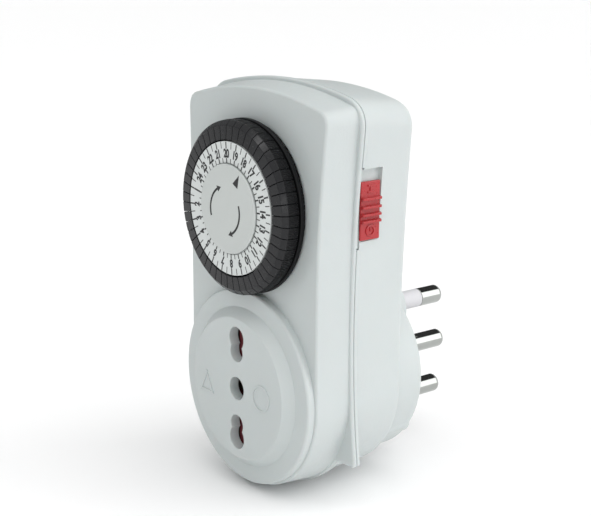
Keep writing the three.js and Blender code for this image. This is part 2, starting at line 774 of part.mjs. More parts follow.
function motorCan() {
  const { x, z } = motorPlace;
  const cup = rod(MOTOR_RADIUS, MOTOR_FRONT_Y + 1.3, MOTOR_BACK_Y, ROUND, x, z);
  const inside = rod(MOTOR_RADIUS - 0.8, MOTOR_FRONT_Y, MOTOR_BACK_Y - 0.8, ROUND, x, z);
  const bearing = tube(2.2, 1.1, -22.3, MOTOR_BACK_Y - 0.5, SMALL_ROUND, x, z);
  return cup.subtract(inside).add(bearing);
}

function motorCover() {
  const { x, z } = motorPlace;
  return tube(MOTOR_RADIUS, 1.2, MOTOR_FRONT_Y, MOTOR_FRONT_Y + 1, ROUND, x, z);
}

function motorCoil() {
  const { x, z } = motorPlace;
  return tube(MOTOR_RADIUS - 1.3, 7, -29.2, -21.8, ROUND, x, z);
}

function gearPlate() {
  const shape = polygon([
    [-21, 24.5],
    [-9, 22],
    [15, 22],
    [21, 27],
    [21, 54],
    [13, 66.5],
    [-13, 66.5],
    [-21, 54],
  ]);
  const plate = prism(shape, GEAR_PLATE_FRONT_Y, GEAR_PLATE_BACK_Y);
  const holes = [
    rod(1.55, -34, -29, SMALL_ROUND, dialPlace.x, dialPlace.z),
    rod(1.05, -34, -29, SMALL_ROUND, reductionPlace.x, reductionPlace.z),
    rod(1.4, -34, -29, SMALL_ROUND, motorPlace.x, motorPlace.z),
    box([16.5, -34, 23], [19.5, -29, 29.4]),
  ];
  return cutAll(plate, holes);
}

// ---- Microswitch -------------------------------------------------------------------------

const SWITCH_LEFT_X = 16;
const SWITCH_RIGHT_X = 20.6;
const LEVER_PIVOT_Y = -39.6;
const LEVER_PIVOT_Z = 28.6;
const LEVER_PIN_RADIUS = 0.6;
const PLUNGER_Z = 38;

// A rod along X, centred on the lever's pivot.
function crossRod(radius, length) {
  const middleX = (SWITCH_LEFT_X + SWITCH_RIGHT_X) / 2;
  return rod(radius, -length / 2, length / 2)
    .rotate([0, 0, 90])
    .translate([middleX, LEVER_PIVOT_Y, LEVER_PIVOT_Z]);
}

function microswitchBody() {
  const body = box([SWITCH_LEFT_X, -38.2, 27], [SWITCH_RIGHT_X, -32.9, 45]);
  const ears = box([SWITCH_LEFT_X, -40.6, 27], [SWITCH_RIGHT_X, -37.9, 30.2]);
  const earGap = box([16.9, -42, 26], [19.7, -38.2, 31]);
  const pinHole = crossRod(0.7, 24);
  const plungerHole = box([17.1, -39, PLUNGER_Z - 1.2], [19.5, -34, PLUNGER_Z + 1.2]);
  const contactHole = box([17.4, -36, 24], [19.2, -33.6, PLUNGER_Z]);
  return cutAll(body.add(ears), [earGap, pinHole, plungerHole, contactHole]);
}

function leverPivotPin() {
  return crossRod(LEVER_PIN_RADIUS, SWITCH_RIGHT_X - SWITCH_LEFT_X);
}

function switchLever() {
  const topZ = 46.9;
  const arm = polygon([
    [-40.4, 27.6],
    [-38.9, 27.6],
    [-38.9, 31],
    [-39.2, topZ],
    [-40.2, topZ],
    [-40.4, 31],
  ]);
  const nub = polygon([
    [-39.6, topZ - 2.2],
    [-39.6, topZ],
    [-43.3, topZ],
    [-44, topZ - 0.7],
    [-44, topZ - 1.4],
    [-43.3, topZ - 2.2],
  ]);
  const lever = sidePrism(arm, 17.2, 19.4).add(sidePrism(nub, 17.6, 19.2));
  return lever.subtract(crossRod(LEVER_PIN_RADIUS + RUNNING_CLEARANCE, 8));
}

function switchPlunger() {
  return box([17.3, -38.7, PLUNGER_Z - 1], [19.3, -36.6, PLUNGER_Z + 1]);
}

function contactBlade() {
  const blade = box([17.7, -35.6, 26.2], [18.9, -35.1, PLUNGER_Z - 0.4]);
  const terminal = box([17.7, -35.6, 24.6], [18.9, -34.2, 26.4]);
  return blade.add(terminal);
}

// ---- Shutter, contacts and bars ----------------------------------------------------------

// A sliding plate. A pad closes each pair of line holes, and a window beside it opens them.
function shutter() {
  const low = [SHUTTER_LEFT_X, SHUTTER_FRONT_Y, -SHUTTER_HALF_HEIGHT];
  const plate = box(low, [SHUTTER_RIGHT_X, SHUTTER_BACK_Y, SHUTTER_HALF_HEIGHT]);
  const pads = [];
  const windows = [box([-9.4, SHUTTER_FRONT_Y - 1, -3.2], [3.2, SHUTTER_BACK_Y + 1, 3.2])];
  for (const [nearZ, farZ] of [[6.4, 15.9], [-15.9, -6.4]]) {
    pads.push(box([-2.9, SHUTTER_PAD_FRONT_Y, nearZ], [3, SHUTTER_BACK_Y, farZ]));
    windows.push(box([-9.4, SHUTTER_FRONT_Y - 1, nearZ], [-3, SHUTTER_BACK_Y + 1, farZ]));
  }
  return cutAll(union([plate, ...pads]), windows);
}

function shutterSpring() {
  const turns = 5;
  const startX = 5.2;
  const length = 11;
  const coilRadius = 1.1;
  class Helix extends THREE.Curve {
    getPoint(t, target = new THREE.Vector3()) {
      const angle = 2 * Math.PI * turns * t;
      const middleY = (SHUTTER_FRONT_Y + SHUTTER_BACK_Y) / 2;
      return target.set(
        startX + length * t,
        middleY + coilRadius * Math.cos(angle),
        coilRadius * Math.sin(angle),
      );
    }
  }
  const section = new THREE.Shape();
  section.absarc(0, 0, 0.2, 0, 2 * Math.PI);
  const geometry = new THREE.ExtrudeGeometry(section, {
    steps: turns * 10,
    curveSegments: 3,
    extrudePath: new Helix(),
  });
  return solidOf(geometry);
}

function contactCarrier() {
  const block = box([-9, CARRIER_FRONT_Y, -18.5], [9, CARRIER_BACK_Y, 18.5]);
  const springArm = box([8.5, CARRIER_FRONT_Y, -3], [18, -42, 3]);
  const springPost = box([16.6, -46.6, -2.5], [18, -43, 2.5]);
  const pockets = [-1, 0, 1].map((side) => {
    const z = side * 11.25;
    const half = side === 0 ? 4 : 6.2;
    return box([-5.4, CARRIER_FRONT_Y - 1, z - half], [5.4, CARRIER_BACK_Y + 1, z + half]);
  });
  return cutAll(union([block, springArm, springPost]), pockets);
}

// A spring contact: two leaves joined at the back, pinched towards each other at the mouth.
function socketContact(z, halfHeight) {
  const leaf = BAR_THICKNESS;
  const outer = [[-4.6, -32.4], [-4.6, -39], [-3.2, -41.6], [-4.4, -43.4]];
  const inner = outer.map(([x, y]) => [x + leaf, y]).reverse();
  inner[inner.length - 1] = [-4.6 + leaf, -32.4 - leaf];
  const left = [...outer, ...inner];
  const right = left.map(([x, y]) => [-x, y]).reverse();
  const shape = polygon([...left, ...right]);
  const geometry = new THREE.ExtrudeGeometry(shape, { depth: 2 * halfHeight, bevelEnabled: false });
  geometry.translate(0, 0, z - halfHeight);
  return solidOf(geometry);
}

function straightBar(z) {
  const half = 2.4;
  const strip = box([-0.4, -31.9, z - half], [0.4, PIN_END_Y - 1.1, z + half]);
  const foot = box([-3, PIN_END_Y - 1.1, z - half], [3, PIN_END_Y - 0.3, z + half]);
  const head = box([-3, -32.1, z - half], [3, -31.4, z + half]);
  return union([strip, foot, head]);
}

function liveInletBar() {
  const run = box([-3, PIN_END_Y - 1.1, 11.5], [15, PIN_END_Y - 0.3, 14.5]);
  const leg = box([14.2, -30.9, 11.5], [15, PIN_END_Y - 0.3, 14.5]);
  const riser = box([14.2, -30.9, 11.5], [18.8, -30.1, 25.4]);
  const tab = box([17.2, -33.9, 24.6], [18.8, -30.1, 25.4]);
  return union([run, leg, riser, tab]);
}

function liveOutletBar() {
  const head = box([-3, -32.1, 10.6], [3, -31.4, 15.4]);
  const run = box([2.5, -32.1, 12], [12.5, -31.4, 15.4]);
  const riser = box([11, -32.1, 12], [12.5, -31.4, 21.2]);
  const crossing = box([11, -34.8, 19.8], [12.5, -31.5, 21.2]);
  const tab = box([11, -34.8, 19.8], [18.4, -34, 21.2]);
  return union([head, run, riser, crossing, tab]);
}

// ---- Override slider ---------------------------------------------------------------------

// A ribbed pad outside, a neck through the wall and a foot and finger inside.
function overrideSlider() {
  const highZ = SLIDER_LOW_Z + SLIDER_HEIGHT;
  const padInnerX = SLOT_FLOOR_X + 0.3;
  const ribX = SLIDER_FACE_X + RIB_RISE;
  const pad = box([padInnerX, SLIDER_FRONT_Y, SLIDER_LOW_Z], [SLIDER_FACE_X, SLIDER_BACK_Y, highZ]);
  const ribs = RIB_HEIGHTS.map((height) => {
    const z = SLIDER_LOW_Z + height;
    const rootX = SLIDER_FACE_X - 0.3;
    const outline = polygon([[rootX, z - 0.45], [ribX, z - 0.2], [ribX, z + 0.2], [rootX, z + 0.45]]);
    return prism(outline, SLIDER_FRONT_Y, SLIDER_BACK_Y);
  });
  const neck = box([22.8, -32.8, 45], [padInnerX + 0.2, -29.9, 50]);
  const foot = box([21.4, -34.2, 43], [23.1, -28.6, 52]);
  const finger = box([21.4, -40, 47.5], [22.6, -34, 49.5]);
  return union([pad, ...ribs, neck, foot, finger]);
}

function casingScrew(place) {
  const seat = screwSeatY(place) + 0.15;
  const frontY = FRONT_FACE_Y + 4;
  const screw = turned([
    [0, frontY],
    [SCREW_RADIUS - 0.5, frontY],
    [SCREW_RADIUS, frontY + 1.2],
    [SCREW_RADIUS, seat],
    [SCREW_HEAD_RADIUS, seat],
    [SCREW_HEAD_RADIUS, seat + 1.3],
    [SCREW_HEAD_RADIUS - 0.6, seat + 1.8],
    [0, seat + 1.8],
  ].reverse(), SMALL_ROUND, place.x, place.z);
  const slots = [
    box([place.x - 1.5, seat + 1, place.z - 0.25], [place.x + 1.5, seat + 3, place.z + 0.25]),
    box([place.x - 0.25, seat + 1, place.z - 1.5], [place.x + 0.25, seat + 3, place.z + 1.5]),
  ];
  return cutAll(screw, slots);
}

// ---- Assembly ----------------------------------------------------------------------------

const casingPlastic = plastic(0xd2d7d6, 0.45);
const blackPlastic = plastic(0x3a3c3e, 0.45);
const printedWhite = plastic(0xe2e6e4, 0.5);
const discGrey = plastic(0xc8cdcb, 0.5);
const redPlastic = plastic(0xc83237, 0.4);
const shutterPlastic = plastic(0x5a282d, 0.5);
const sleevePlastic = plastic(0xe8e8e6, 0.45);
const insulator = plastic(0xb9a58c, 0.6);
const acetal = plastic(0xf0ead8, 0.45);
const nickel = metal(0xd8d8d4, 0.15);
const steel = metal(0xa8aaad, 0.35);
const brass = metal(0xc9a862, 0.3);
const copperCoil = metal(0xb87442, 0.4);
const ferrite = plastic(0x2c2c2e, 0.7);

addPiece("front_casing", frontCasing(), casingPlastic);
addPiece("rear_casing", rearCasing(), casingPlastic.clone());
for (const place of SCREW_PLACES) addPiece(place.name, casingScrew(place), steel.clone());

addPiece("earth_pin", earthPin(), nickel);
addPiece("live_pin", linePin(PIN_PITCH), nickel.clone());
addPiece("neutral_pin", linePin(-PIN_PITCH), nickel.clone());
addPiece("live_pin_sleeve", pinSleeve(PIN_PITCH), sleevePlastic);
addPiece("neutral_pin_sleeve", pinSleeve(-PIN_PITCH), sleevePlastic.clone());

addPiece("outlet_shutter", shutter(), shutterPlastic);
addPiece("shutter_spring", shutterSpring(), steel.clone());
addPiece("contact_carrier", contactCarrier(), insulator);
addPiece("live_contact", socketContact(11.25, 5.6), brass);
addPiece("neutral_contact", socketContact(-11.25, 5.6), brass.clone());
addPiece("earth_contact", socketContact(0, 3.4), brass.clone());
addPiece("earth_bar", straightBar(0), brass.clone());
addPiece("neutral_bar", straightBar(-PIN_PITCH), brass.clone());
addPiece("live_inlet_bar", liveInletBar(), brass.clone());
addPiece("live_outlet_bar", liveOutletBar(), brass.clone());

addPiece("gear_plate", gearPlate(), steel.clone());
addPiece("dial_spindle", dialSpindle(), steel.clone());
addPiece("dial_clip", dialClip(), steel.clone());
addPiece("reduction_axle", reductionAxle(), steel.clone());
addPiece("reduction_gear", reductionGear(), acetal);
addPiece("motor_can", motorCan(), steel.clone());
addPiece("motor_cover", motorCover(), steel.clone());
addPiece("motor_coil", motorCoil(), copperCoil);
addPiece("motor_rotor", motorRotor(), ferrite);

addPiece("microswitch_body", microswitchBody(), insulator.clone());
addPiece("lever_pivot_pin", leverPivotPin(), steel.clone());
addPiece("switch_lever", switchLever(), acetal.clone());
addPiece("switch_plunger", switchPlunger(), redPlastic.clone());
addPiece("contact_blade", contactBlade(), brass.clone());
addPiece("override_slider", overrideSlider(), redPlastic);

addPiece("dial_gear", dialGear(), acetal.clone());
addPiece("centre_disc", centreDisc(), discGrey);

// Turned by half a tappet, so that the middle of a tappet lies on the dial's horizontal line.
const dial = new THREE.Group();
dial.position.z = DIAL_Z;
dial.rotation.y = TAPPET_STEP / 2;
part.add(dial);
addPiece("dial_carrier", dialCarrier(), blackPlastic, dial);
addPiece("number_ring", numberRing(), printedWhite, dial);
const ring = tappetRing();
addPiece("tappet_bank", tappetBank(ring), blackPlastic.clone(), dial);
for (let index = 0; index < LOOSE_TAPPETS; index += 1) {
  const number = String(index + 1).padStart(2, "0");
  addPiece(`tappet_${number}`, tappet(ring, index), blackPlastic.clone(), dial);
}

export default part;
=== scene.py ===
# The looks of a plug-in programmable timer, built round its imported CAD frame.
import json
import math

import bmesh
import bpy
from mathutils import Matrix, Vector, geometry


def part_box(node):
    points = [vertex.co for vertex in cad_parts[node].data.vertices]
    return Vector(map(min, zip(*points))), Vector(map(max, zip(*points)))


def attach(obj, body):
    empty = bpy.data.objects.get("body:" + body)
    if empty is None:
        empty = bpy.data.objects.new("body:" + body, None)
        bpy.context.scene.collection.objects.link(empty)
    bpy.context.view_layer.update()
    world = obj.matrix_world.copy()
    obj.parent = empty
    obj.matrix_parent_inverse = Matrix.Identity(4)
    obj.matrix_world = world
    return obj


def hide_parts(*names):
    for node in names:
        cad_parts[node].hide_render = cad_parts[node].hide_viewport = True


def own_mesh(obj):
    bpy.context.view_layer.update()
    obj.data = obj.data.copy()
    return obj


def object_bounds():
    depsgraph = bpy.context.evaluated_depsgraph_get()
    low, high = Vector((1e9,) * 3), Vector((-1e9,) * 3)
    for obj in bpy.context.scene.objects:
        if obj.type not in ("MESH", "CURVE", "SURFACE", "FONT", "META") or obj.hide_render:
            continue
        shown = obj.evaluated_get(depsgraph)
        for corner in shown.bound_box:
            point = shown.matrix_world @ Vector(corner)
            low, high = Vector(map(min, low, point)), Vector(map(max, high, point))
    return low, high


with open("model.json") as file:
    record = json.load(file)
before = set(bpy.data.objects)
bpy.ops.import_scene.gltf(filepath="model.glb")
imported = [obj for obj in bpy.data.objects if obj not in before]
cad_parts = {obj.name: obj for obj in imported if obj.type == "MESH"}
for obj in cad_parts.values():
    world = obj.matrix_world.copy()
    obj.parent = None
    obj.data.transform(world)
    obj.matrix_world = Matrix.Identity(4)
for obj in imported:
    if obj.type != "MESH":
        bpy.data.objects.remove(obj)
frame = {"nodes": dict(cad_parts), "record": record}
cad_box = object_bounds()

# ---- Sizes, in millimetres in the row frame ----

MM = 0.001
SPECK = 0.001 * MM  # Faces thinner than this are dropped.


def cad(node):
    """The lowest and highest corner of a CAD node, in millimetres."""
    low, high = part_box(node)
    return low / MM, high / MM


# Planes across the depth. The front faces -Y and the wall is at +Y.
OUTLET_FACE = cad("front_casing")[0].y
OUTLET_RING = OUTLET_FACE + 2.5
FACE = OUTLET_FACE + 4.6
PARTING = cad("rear_casing")[0].y
FLANGE = PARTING - 1.2
CASING_GAP = 0.15
WALL = 2
PLUG_FACE = cad("rear_casing")[1].y
REAR_FACE = PLUG_FACE - 17.6
BOSS_RIM = PLUG_FACE - 8.6

DIAL_Z = (cad("centre_disc")[0].z + cad("centre_disc")[1].z) / 2
CARRIER_RADIUS = cad("dial_carrier")[1].x
RING_RADIUS = cad("number_ring")[1].x
RING_FRONT = cad("number_ring")[0].y
DISC_RADIUS = cad("centre_disc")[1].x
PRINT_DEPTH = 0.02
DISC_FRONT = cad("centre_disc")[0].y + PRINT_DEPTH + 0.01
DRUM_FACE = -47.5  # The front of the drum's flange, which the tappets sit on.
SPINDLE_HOLE = 2.1
TAPPETS = 48
TAPPET_INNER = 16.6
TAPPET_STEP = 2 * math.pi / TAPPETS
LOOSE_TAPPETS = 12
RIDGES = 5  # Grip ridges on each tappet.

# The outlet and the plug share one axis.
OUTLET_RADIUS = 25
BOSS_RADIUS = 23.4
STEP_RADIUS = 20.4
WIDE_HOLE = 2.9
NARROW_HOLE = 2.5
NARROW_PITCH = 9.5
PIN_RADIUS = 2.5
CORE_RADIUS = 1.8
PIN_PITCH = 13
PIN_LENGTH = 19
EARTH_LENGTH = 20.2
SLEEVE_LENGTH = 11
PIN_HEAD = (-14, -11)  # The front and the back of the head that holds a pin in the boss.

# The pocket of the override slider, in the right side of the rear casing.
SLOT_FOOT = 39.9
SLOT_HEAD = 57.3
SLOT_FLOOR = 26.1
SLOT_LEDGE = 1.5
LEDGE_FLOOR = 26.5
OUTSIDE = 32  # Past the casing's side, where a cutting block ends.

# The lip where the casing halves meet. It ends in a small wing at each lower corner.
LIP_RADIUS = 26.7
LIP_BACK = PARTING + 1
WING_Z = -15.9
WING_ANGLE = math.asin(WING_Z / LIP_RADIUS)

# The right halves of the casing's outlines, as control points (x, z) of a side, a corner and an
# arched top. Below z = 0 each outline is a half circle. SPLIT gives the points of each stretch.
SPLIT = {"arc": 16, "wing": 14, "side": 22, "corner": 8, "arch": 14}
FRONT_SIDE = {
    "foot": (25.6, 0), "lower": (24.9, 24), "upper": (25.4, 46), "shoulder": (27, 67),
    "corner": (27.2, 70.6), "arch": (24, 71.2), "crown": 74.4,
}
FRONT_INNER_SIDE = {
    "foot": (23.6, 0), "lower": (22.9, 24), "upper": (23.4, 46), "shoulder": (24.8, 66),
    "corner": (25, 68.8), "arch": (22.5, 69.3), "crown": 72.4,
}
REAR_SIDE = {
    "foot": (25.9, 0), "lower": (25.5, 20), "upper": (26.3, 42), "shoulder": (28.95, 67),
    "corner": (29.1, 72.1), "arch": (23, 73.5), "crown": 75.95,
}
REAR_INNER_SIDE = {
    "foot": (24, 0), "lower": (23.7, 22), "upper": (24.1, 46), "shoulder": (25.2, 65),
    "corner": (25.4, 69.4), "arch": (21.5, 70.2), "crown": 72.2,
}
LIP_SIDE = {
    "foot": (28.25, WING_Z + 1), "lower": (24.9, 12.6), "upper": (26.4, 40.2),
    "shoulder": (29.2, 67), "corner": (29.3, 72.4), "arch": (23, 73.75), "crown": 76.25,
}
# Where each screw stands, and the depth of the seat under its head.
SCREWS = {
    f"casing_screw_{row}_{side}": (sign * x, z, seat)
    for row, x, z, seat in (("top", 20, 64, REAR_FACE - 3), ("bottom", 16, -12, BOSS_RIM - 3))
    for side, sign in (("left", -1), ("right", 1))
}

# ---- Curves in the plane ----


def bezier(points, steps, start=0.0, end=1.0):
    """Points along a Bezier curve of any degree from start up to, and without, end."""
    made = []
    for i in range(steps):
        t = start + (end - start) * i / steps
        row = [Vector(p) for p in points]
        while len(row) > 1:
            row = [a.lerp(b, t) for a, b in zip(row, row[1:])]
        made.append(row[0])
    return made


def arc(centre, radius, start, end, steps):
    """Points along an arc from start up to, and without, end; the angles are in radians."""
    x, y = centre
    angles = [start + (end - start) * i / steps for i in range(steps)]
    return [Vector((x + radius * math.cos(a), y + radius * math.sin(a))) for a in angles]


def rounded(points, radii, steps=4, closed=False):
    """A polyline with each corner replaced by an arc. radii gives each corner's radius."""
    corners = [Vector(p) for p in points]
    if not hasattr(radii, "__len__"):
        radii = [radii] * len(corners)
    made = []
    for i, (corner, radius) in enumerate(zip(corners, radii)):
        if radius <= 0 or (not closed and i in (0, len(corners) - 1)):
            made.append(corner)
            continue
        before = (corners[i - 1] - corner).normalized()
        after = (corners[(i + 1) % len(corners)] - corner).normalized()
        half = before.angle(after) / 2
        centre = corner + (before + after).normalized() * (radius / math.sin(half))
        first = corner + before * (radius / math.tan(half)) - centre
        last = corner + after * (radius / math.tan(half)) - centre
        swing = first.angle_signed(last)
        for k in range(steps + 1):
            made.append(centre + Matrix.Rotation(-swing * k / steps, 2) @ first)
    return made


def inset(outline, distance):
    """A closed counter-clockwise outline moved inwards; distance may differ from point to point."""
    if not hasattr(distance, "__len__"):
        distance = [distance] * len(outline)
    made = []
    for i, point in enumerate(outline):
        before = (point - outline[i - 1]).normalized()
        after = (outline[(i + 1) % len(outline)] - point).normalized()
        along = (before + after).normalized()
        miter = 1 / max(0.5, along.dot(after))
        made.append(point + Vector((-along.y, along.x)) * distance[i] * miter)
    return made


def quarter(steps):
    """A rounded edge in steps: how far each ring is still drawn in, and how far it has dropped."""
    turns = [math.pi / 2 * k / steps for k in range(steps + 1)]
    return [(1 - math.sin(t), 1 - math.cos(t)) for t in turns]


def scaled(values, factor):
    """Each value times one factor."""
    return [value * factor for value in values]


def straight_side(side):
    return [side["foot"], side["lower"], side["upper"], side["shoulder"]]


def side_curves(side, start=0.0):
    """The right side, corner and half of the arched top of a casing outline."""
    arch, crown = side["arch"], side["crown"]
    points = bezier(straight_side(side), SPLIT["side"], start)
    points += bezier([side["shoulder"], side["corner"], arch], SPLIT["corner"])
    return points + bezier([arch, (arch[0] / 2, crown), (0, crown)], SPLIT["arch"])


def mirrored(half, crown):
    """A whole outline from its right half, which runs from the bottom up to the crown."""
    left = [Vector((-p.x, p.y)) for p in reversed(half[1:])]
    return half + [Vector((0, crown))] + left


def round_ended(side):
    """A casing outline whose bottom is a half circle."""
    radius = side["foot"][0]
    half = arc((0, 0), radius, -math.pi / 2, WING_ANGLE, SPLIT["arc"])
    half += arc((0, 0), radius, WING_ANGLE, 0, SPLIT["wing"])
    return mirrored(half + side_curves(side), side["crown"])


def lip_outline():
    """The outline of the lip: a small wing stands out at each lower corner."""
    side = straight_side(LIP_SIDE)
    low, high = 0.0, 1.0
    while high - low > 1e-6:
        middle = (low + high) / 2
        if bezier(side, 1, middle)[0].y < 0:
            low = middle
        else:
            high = middle
    foot_x = LIP_SIDE["foot"][0]
    corner = [(foot_x - 1, WING_Z), (foot_x, WING_Z), LIP_SIDE["foot"]]
    start = Vector((LIP_RADIUS * math.cos(WING_ANGLE), WING_Z))
    line_steps, corner_steps = 5, 4
    half = arc((0, 0), LIP_RADIUS, -math.pi / 2, WING_ANGLE, SPLIT["arc"])
    half += bezier([start, corner[0]], line_steps)
    half += bezier(corner, corner_steps)
    half += bezier(side, SPLIT["wing"] - line_steps - corner_steps, 0, low)
    return mirrored(half + side_curves(LIP_SIDE, low), LIP_SIDE["crown"])


def flared(outline, along, sideways, upwards, downwards):
    """An outline that has grown by shares of itself: sideways at z = 0 and what the top adds to
    that, upwards above z = 0 and downwards below it. along scales them all."""
    made = []
    for p in outline:
        side = sideways[0] + sideways[1] * max(0.0, p.y / 70) ** 2
        upright = downwards if p.y < 0 else upwards
        made.append(Vector((p.x * (1 + along * side), p.y * (1 + along * upright))))
    return made


def stadium(half_width, half_height, steps=16):
    """A slot outline that stands upright, with round ends."""
    straight = half_height - half_width
    points = arc((0, straight), half_width, 0, math.pi, steps)
    points.append(Vector((-half_width, straight)))
    points += arc((0, -straight), half_width, math.pi, 2 * math.pi, steps)
    points.append(Vector((half_width, -straight)))
    return points


# ---- Meshes ----


def raised(outline, y):
    """An outline (x, z) as a ring of points at depth y, which may be a function of z."""
    return [Vector((p.x, y(p.y) if callable(y) else y, p.y)) for p in outline]


def stepped(outline, y, depths):
    """A ring near depth y; depths says how far behind it each point lies."""
    return [Vector((p.x, y + depth, p.y)) for p, depth in zip(outline, depths)]


def overhang(shell, lip):
    """How far, and which way, the lip stands out from each point of a shell's outline."""
    steps = [b - a for a, b in zip(shell, lip)]
    return [step.length for step in steps], [step.normalized() for step in steps]


def reached(outline, outward, distances):
    """An outline whose points are moved outward, each by its own distance."""
    return [
        Vector((p.x + d.x * reach, p.y + d.y * reach))
        for p, d, reach in zip(outline, outward, distances)
    ]


def add_loft(bm, rings, closed=False):
    """Quads between rings that have the same number of points."""
    rows = [[bm.verts.new(p) for p in ring] for ring in rings]
    pairs = list(zip(rows, rows[1:]))
    if closed:
        pairs.append((rows[-1], rows[0]))
    for first, second in pairs:
        for i in range(len(first)):
            bm.faces.new((first[i - 1], first[i], second[i], second[i - 1]))
    return rows


def add_sheet(bm, ring, height, spacing=3.0):
    """Fills a ring with a fine sheet whose depth is height(z)."""
    outline = [Vector((v.co.x, v.co.z)) for v in ring]
    inner = inset(outline, spacing * 0.6)
    reach = max(abs(p.x) for p in outline)
    low, high = min(p.y for p in outline), max(p.y for p in outline)
    points = list(outline)
    for i in range(int(2 * reach / spacing) + 1):
        for k in range(int((high - low) / spacing) + 1):
            place = Vector((-reach + i * spacing, low + k * spacing))
            if inside(place, inner):
                points.append(place)
    count = len(outline)
    border = [list(range(count))]
    made, _, faces, origin, _, _ = geometry.delaunay_2d_cdt(points, [], border, 1, 1e-6)
    verts = []
    for place, sources in zip(made, origin):
        known = [s for s in sources if s < count]
        verts.append(ring[known[0]] if known else bm.verts.new((place.x, height(place.y), place.y)))
    for face in faces:
        bm.faces.new([verts[i] for i in face])


def inside(place, outline):
    """Whether a point lies inside a closed outline."""
    crossings = 0
    for a, b in zip(outline, outline[1:] + outline[:1]):
        if (a.y > place.y) != (b.y > place.y):
            crossings += place.x < a.x + (b.x - a.x) * (place.y - a.y) / (b.y - a.y)
    return crossings % 2 == 1


def placed(name, data):
    """A new object in the scene."""
    made = bpy.data.objects.new(name, data)
    bpy.context.scene.collection.objects.link(made)
    return made


def finished(bm, name):
    """Turns a bmesh in millimetres into an object in metres, with its faces pointing out."""
    bmesh.ops.remove_doubles(bm, verts=bm.verts, dist=1e-4)
    bmesh.ops.recalc_face_normals(bm, faces=bm.faces)
    bmesh.ops.scale(bm, vec=(MM, MM, MM), verts=bm.verts)
    mesh = bpy.data.meshes.new(name)
    bm.to_mesh(mesh)
    bm.free()
    return placed(name, mesh)


def lofted(name, rings, caps=True):
    bm = bmesh.new()
    rows = add_loft(bm, rings, closed=not caps)
    if caps:
        bm.faces.new(rows[0])
        bm.faces.new(rows[-1])
    return finished(bm, name)


def lathe(name, profile, x=0.0, z=0.0, segments=96):
    """A profile of (radius, y) points turned about a Y axis. It closes on itself or on the axis."""
    bm = bmesh.new()
    turns = [2 * math.pi * i / segments for i in range(segments)]
    rows = []
    for radius, y in profile:
        if radius < 1e-6:
            rows.append([bm.verts.new((x, y, z))])
            continue
        rows.append([
            bm.verts.new((x + radius * math.cos(t), y, z + radius * math.sin(t))) for t in turns
        ])
    on_axis = len(rows[0]) == 1
    pairs = list(zip(rows, rows[1:])) + ([] if on_axis else [(rows[-1], rows[0])])
    for first, second in pairs:
        for i in range(segments):
            face = [first[i % len(first)], first[i - 1 if len(first) > 1 else 0]]
            face += [second[i - 1 if len(second) > 1 else 0], second[i % len(second)]]
            bm.faces.new(list(dict.fromkeys(face)))
    return finished(bm, name)


def block(name, low, high, edge=0.0, steps=3):
    """A box between two corners whose edges are rounded."""
    bm = bmesh.new()
    bmesh.ops.create_cube(bm, size=1)
    low, high = Vector(low), Vector(high)
    for v in bm.verts:
        v.co = Vector((v.co[k] + 0.5) * (high[k] - low[k]) + low[k] for k in range(3))
    if edge > 0:
        bmesh.ops.bevel(
            bm, geom=list(bm.edges), offset=edge, segments=steps, profile=0.5, affect="EDGES"
        )
    return finished(bm, name)


def plate(name, outline, front, back, edge=0.3, steps=3):
    """An outline (x, z) given depth between two Y planes, with rounded rims."""
    rings = [raised(inset(outline, edge * draw), front + edge * drop) for draw, drop in quarter(steps)]
    rings += [
        [Vector((p.x, back + front - p.y, p.z)) for p in ring] for ring in reversed(rings)
    ]
    return lofted(name, rings)


def shaped_mesh(source):
    """The mesh of an object with its modifiers applied."""
    bpy.context.view_layer.update()
    return bpy.data.meshes.new_from_object(
        source.evaluated_get(bpy.context.evaluated_depsgraph_get())
    )


def join(target, *tools, operation="UNION"):
    """Joins or cuts target with closed tool objects, which are used up."""
    for tool in tools:
        change = target.modifiers.new("join", "BOOLEAN")
        change.operation = operation
        change.solver = "MANIFOLD"
        change.object = tool
    shaped = shaped_mesh(target)
    target.modifiers.clear()
    bm = bmesh.new()
    bm.from_mesh(shaped)
    bmesh.ops.dissolve_degenerate(bm, dist=SPECK, edges=bm.edges)
    bm.to_mesh(shaped)
    bm.free()
    target.data = shaped
    for tool in tools:
        bpy.data.objects.remove(tool)
    return target


def cut(target, *tools):
    return join(target, *tools, operation="DIFFERENCE")


def copy_turned(source, name, angle):
    """A copy of a dial piece, turned about the dial axis from +X towards +Z."""
    made = placed(name, source.data.copy())
    axis = Matrix.Translation((0, 0, DIAL_Z * MM))
    made.data.transform(axis @ Matrix.Rotation(-angle, 4, "Y") @ axis.inverted())
    return made


def settle(piece, body, look, nodes=(), sharp=35):
    """Smooths a finished piece, gives it its material and puts it on its CAD body."""
    if piece.type == "MESH":
        for face in piece.data.polygons:
            face.use_smooth = True
        piece.data.set_sharp_from_angle(angle=math.radians(sharp))
        weigh = piece.modifiers.new("normals", "WEIGHTED_NORMAL")
        weigh.keep_sharp = True
    piece.data.materials.clear()
    piece.data.materials.append(LOOKS[look])
    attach(piece, body)
    if nodes:
        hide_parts(*nodes)
    return piece


# ---- Materials ----

LOOKS = {}


def add(tree, kind, *values, **inputs):
    """A new node. Values fill its sockets in order and inputs fill them by name, with a constant
    or a link. A name that starts with an underscore is a setting of the node."""
    node = tree.nodes.new(kind)
    filled = list(enumerate(values))
    for key, value in inputs.items():
        if key.startswith("_"):
            setattr(node, key[1:], value)
        else:
            filled.append((key.replace("_", " "), value))
    for key, value in filled:
        if isinstance(value, bpy.types.NodeSocket):
            tree.links.new(value, node.inputs[key])
        else:
            node.inputs[key].default_value = value
    return node


def calculated(tree, operation, *values):
    return add(tree, "ShaderNodeMath", *values, _operation=operation).outputs["Value"]


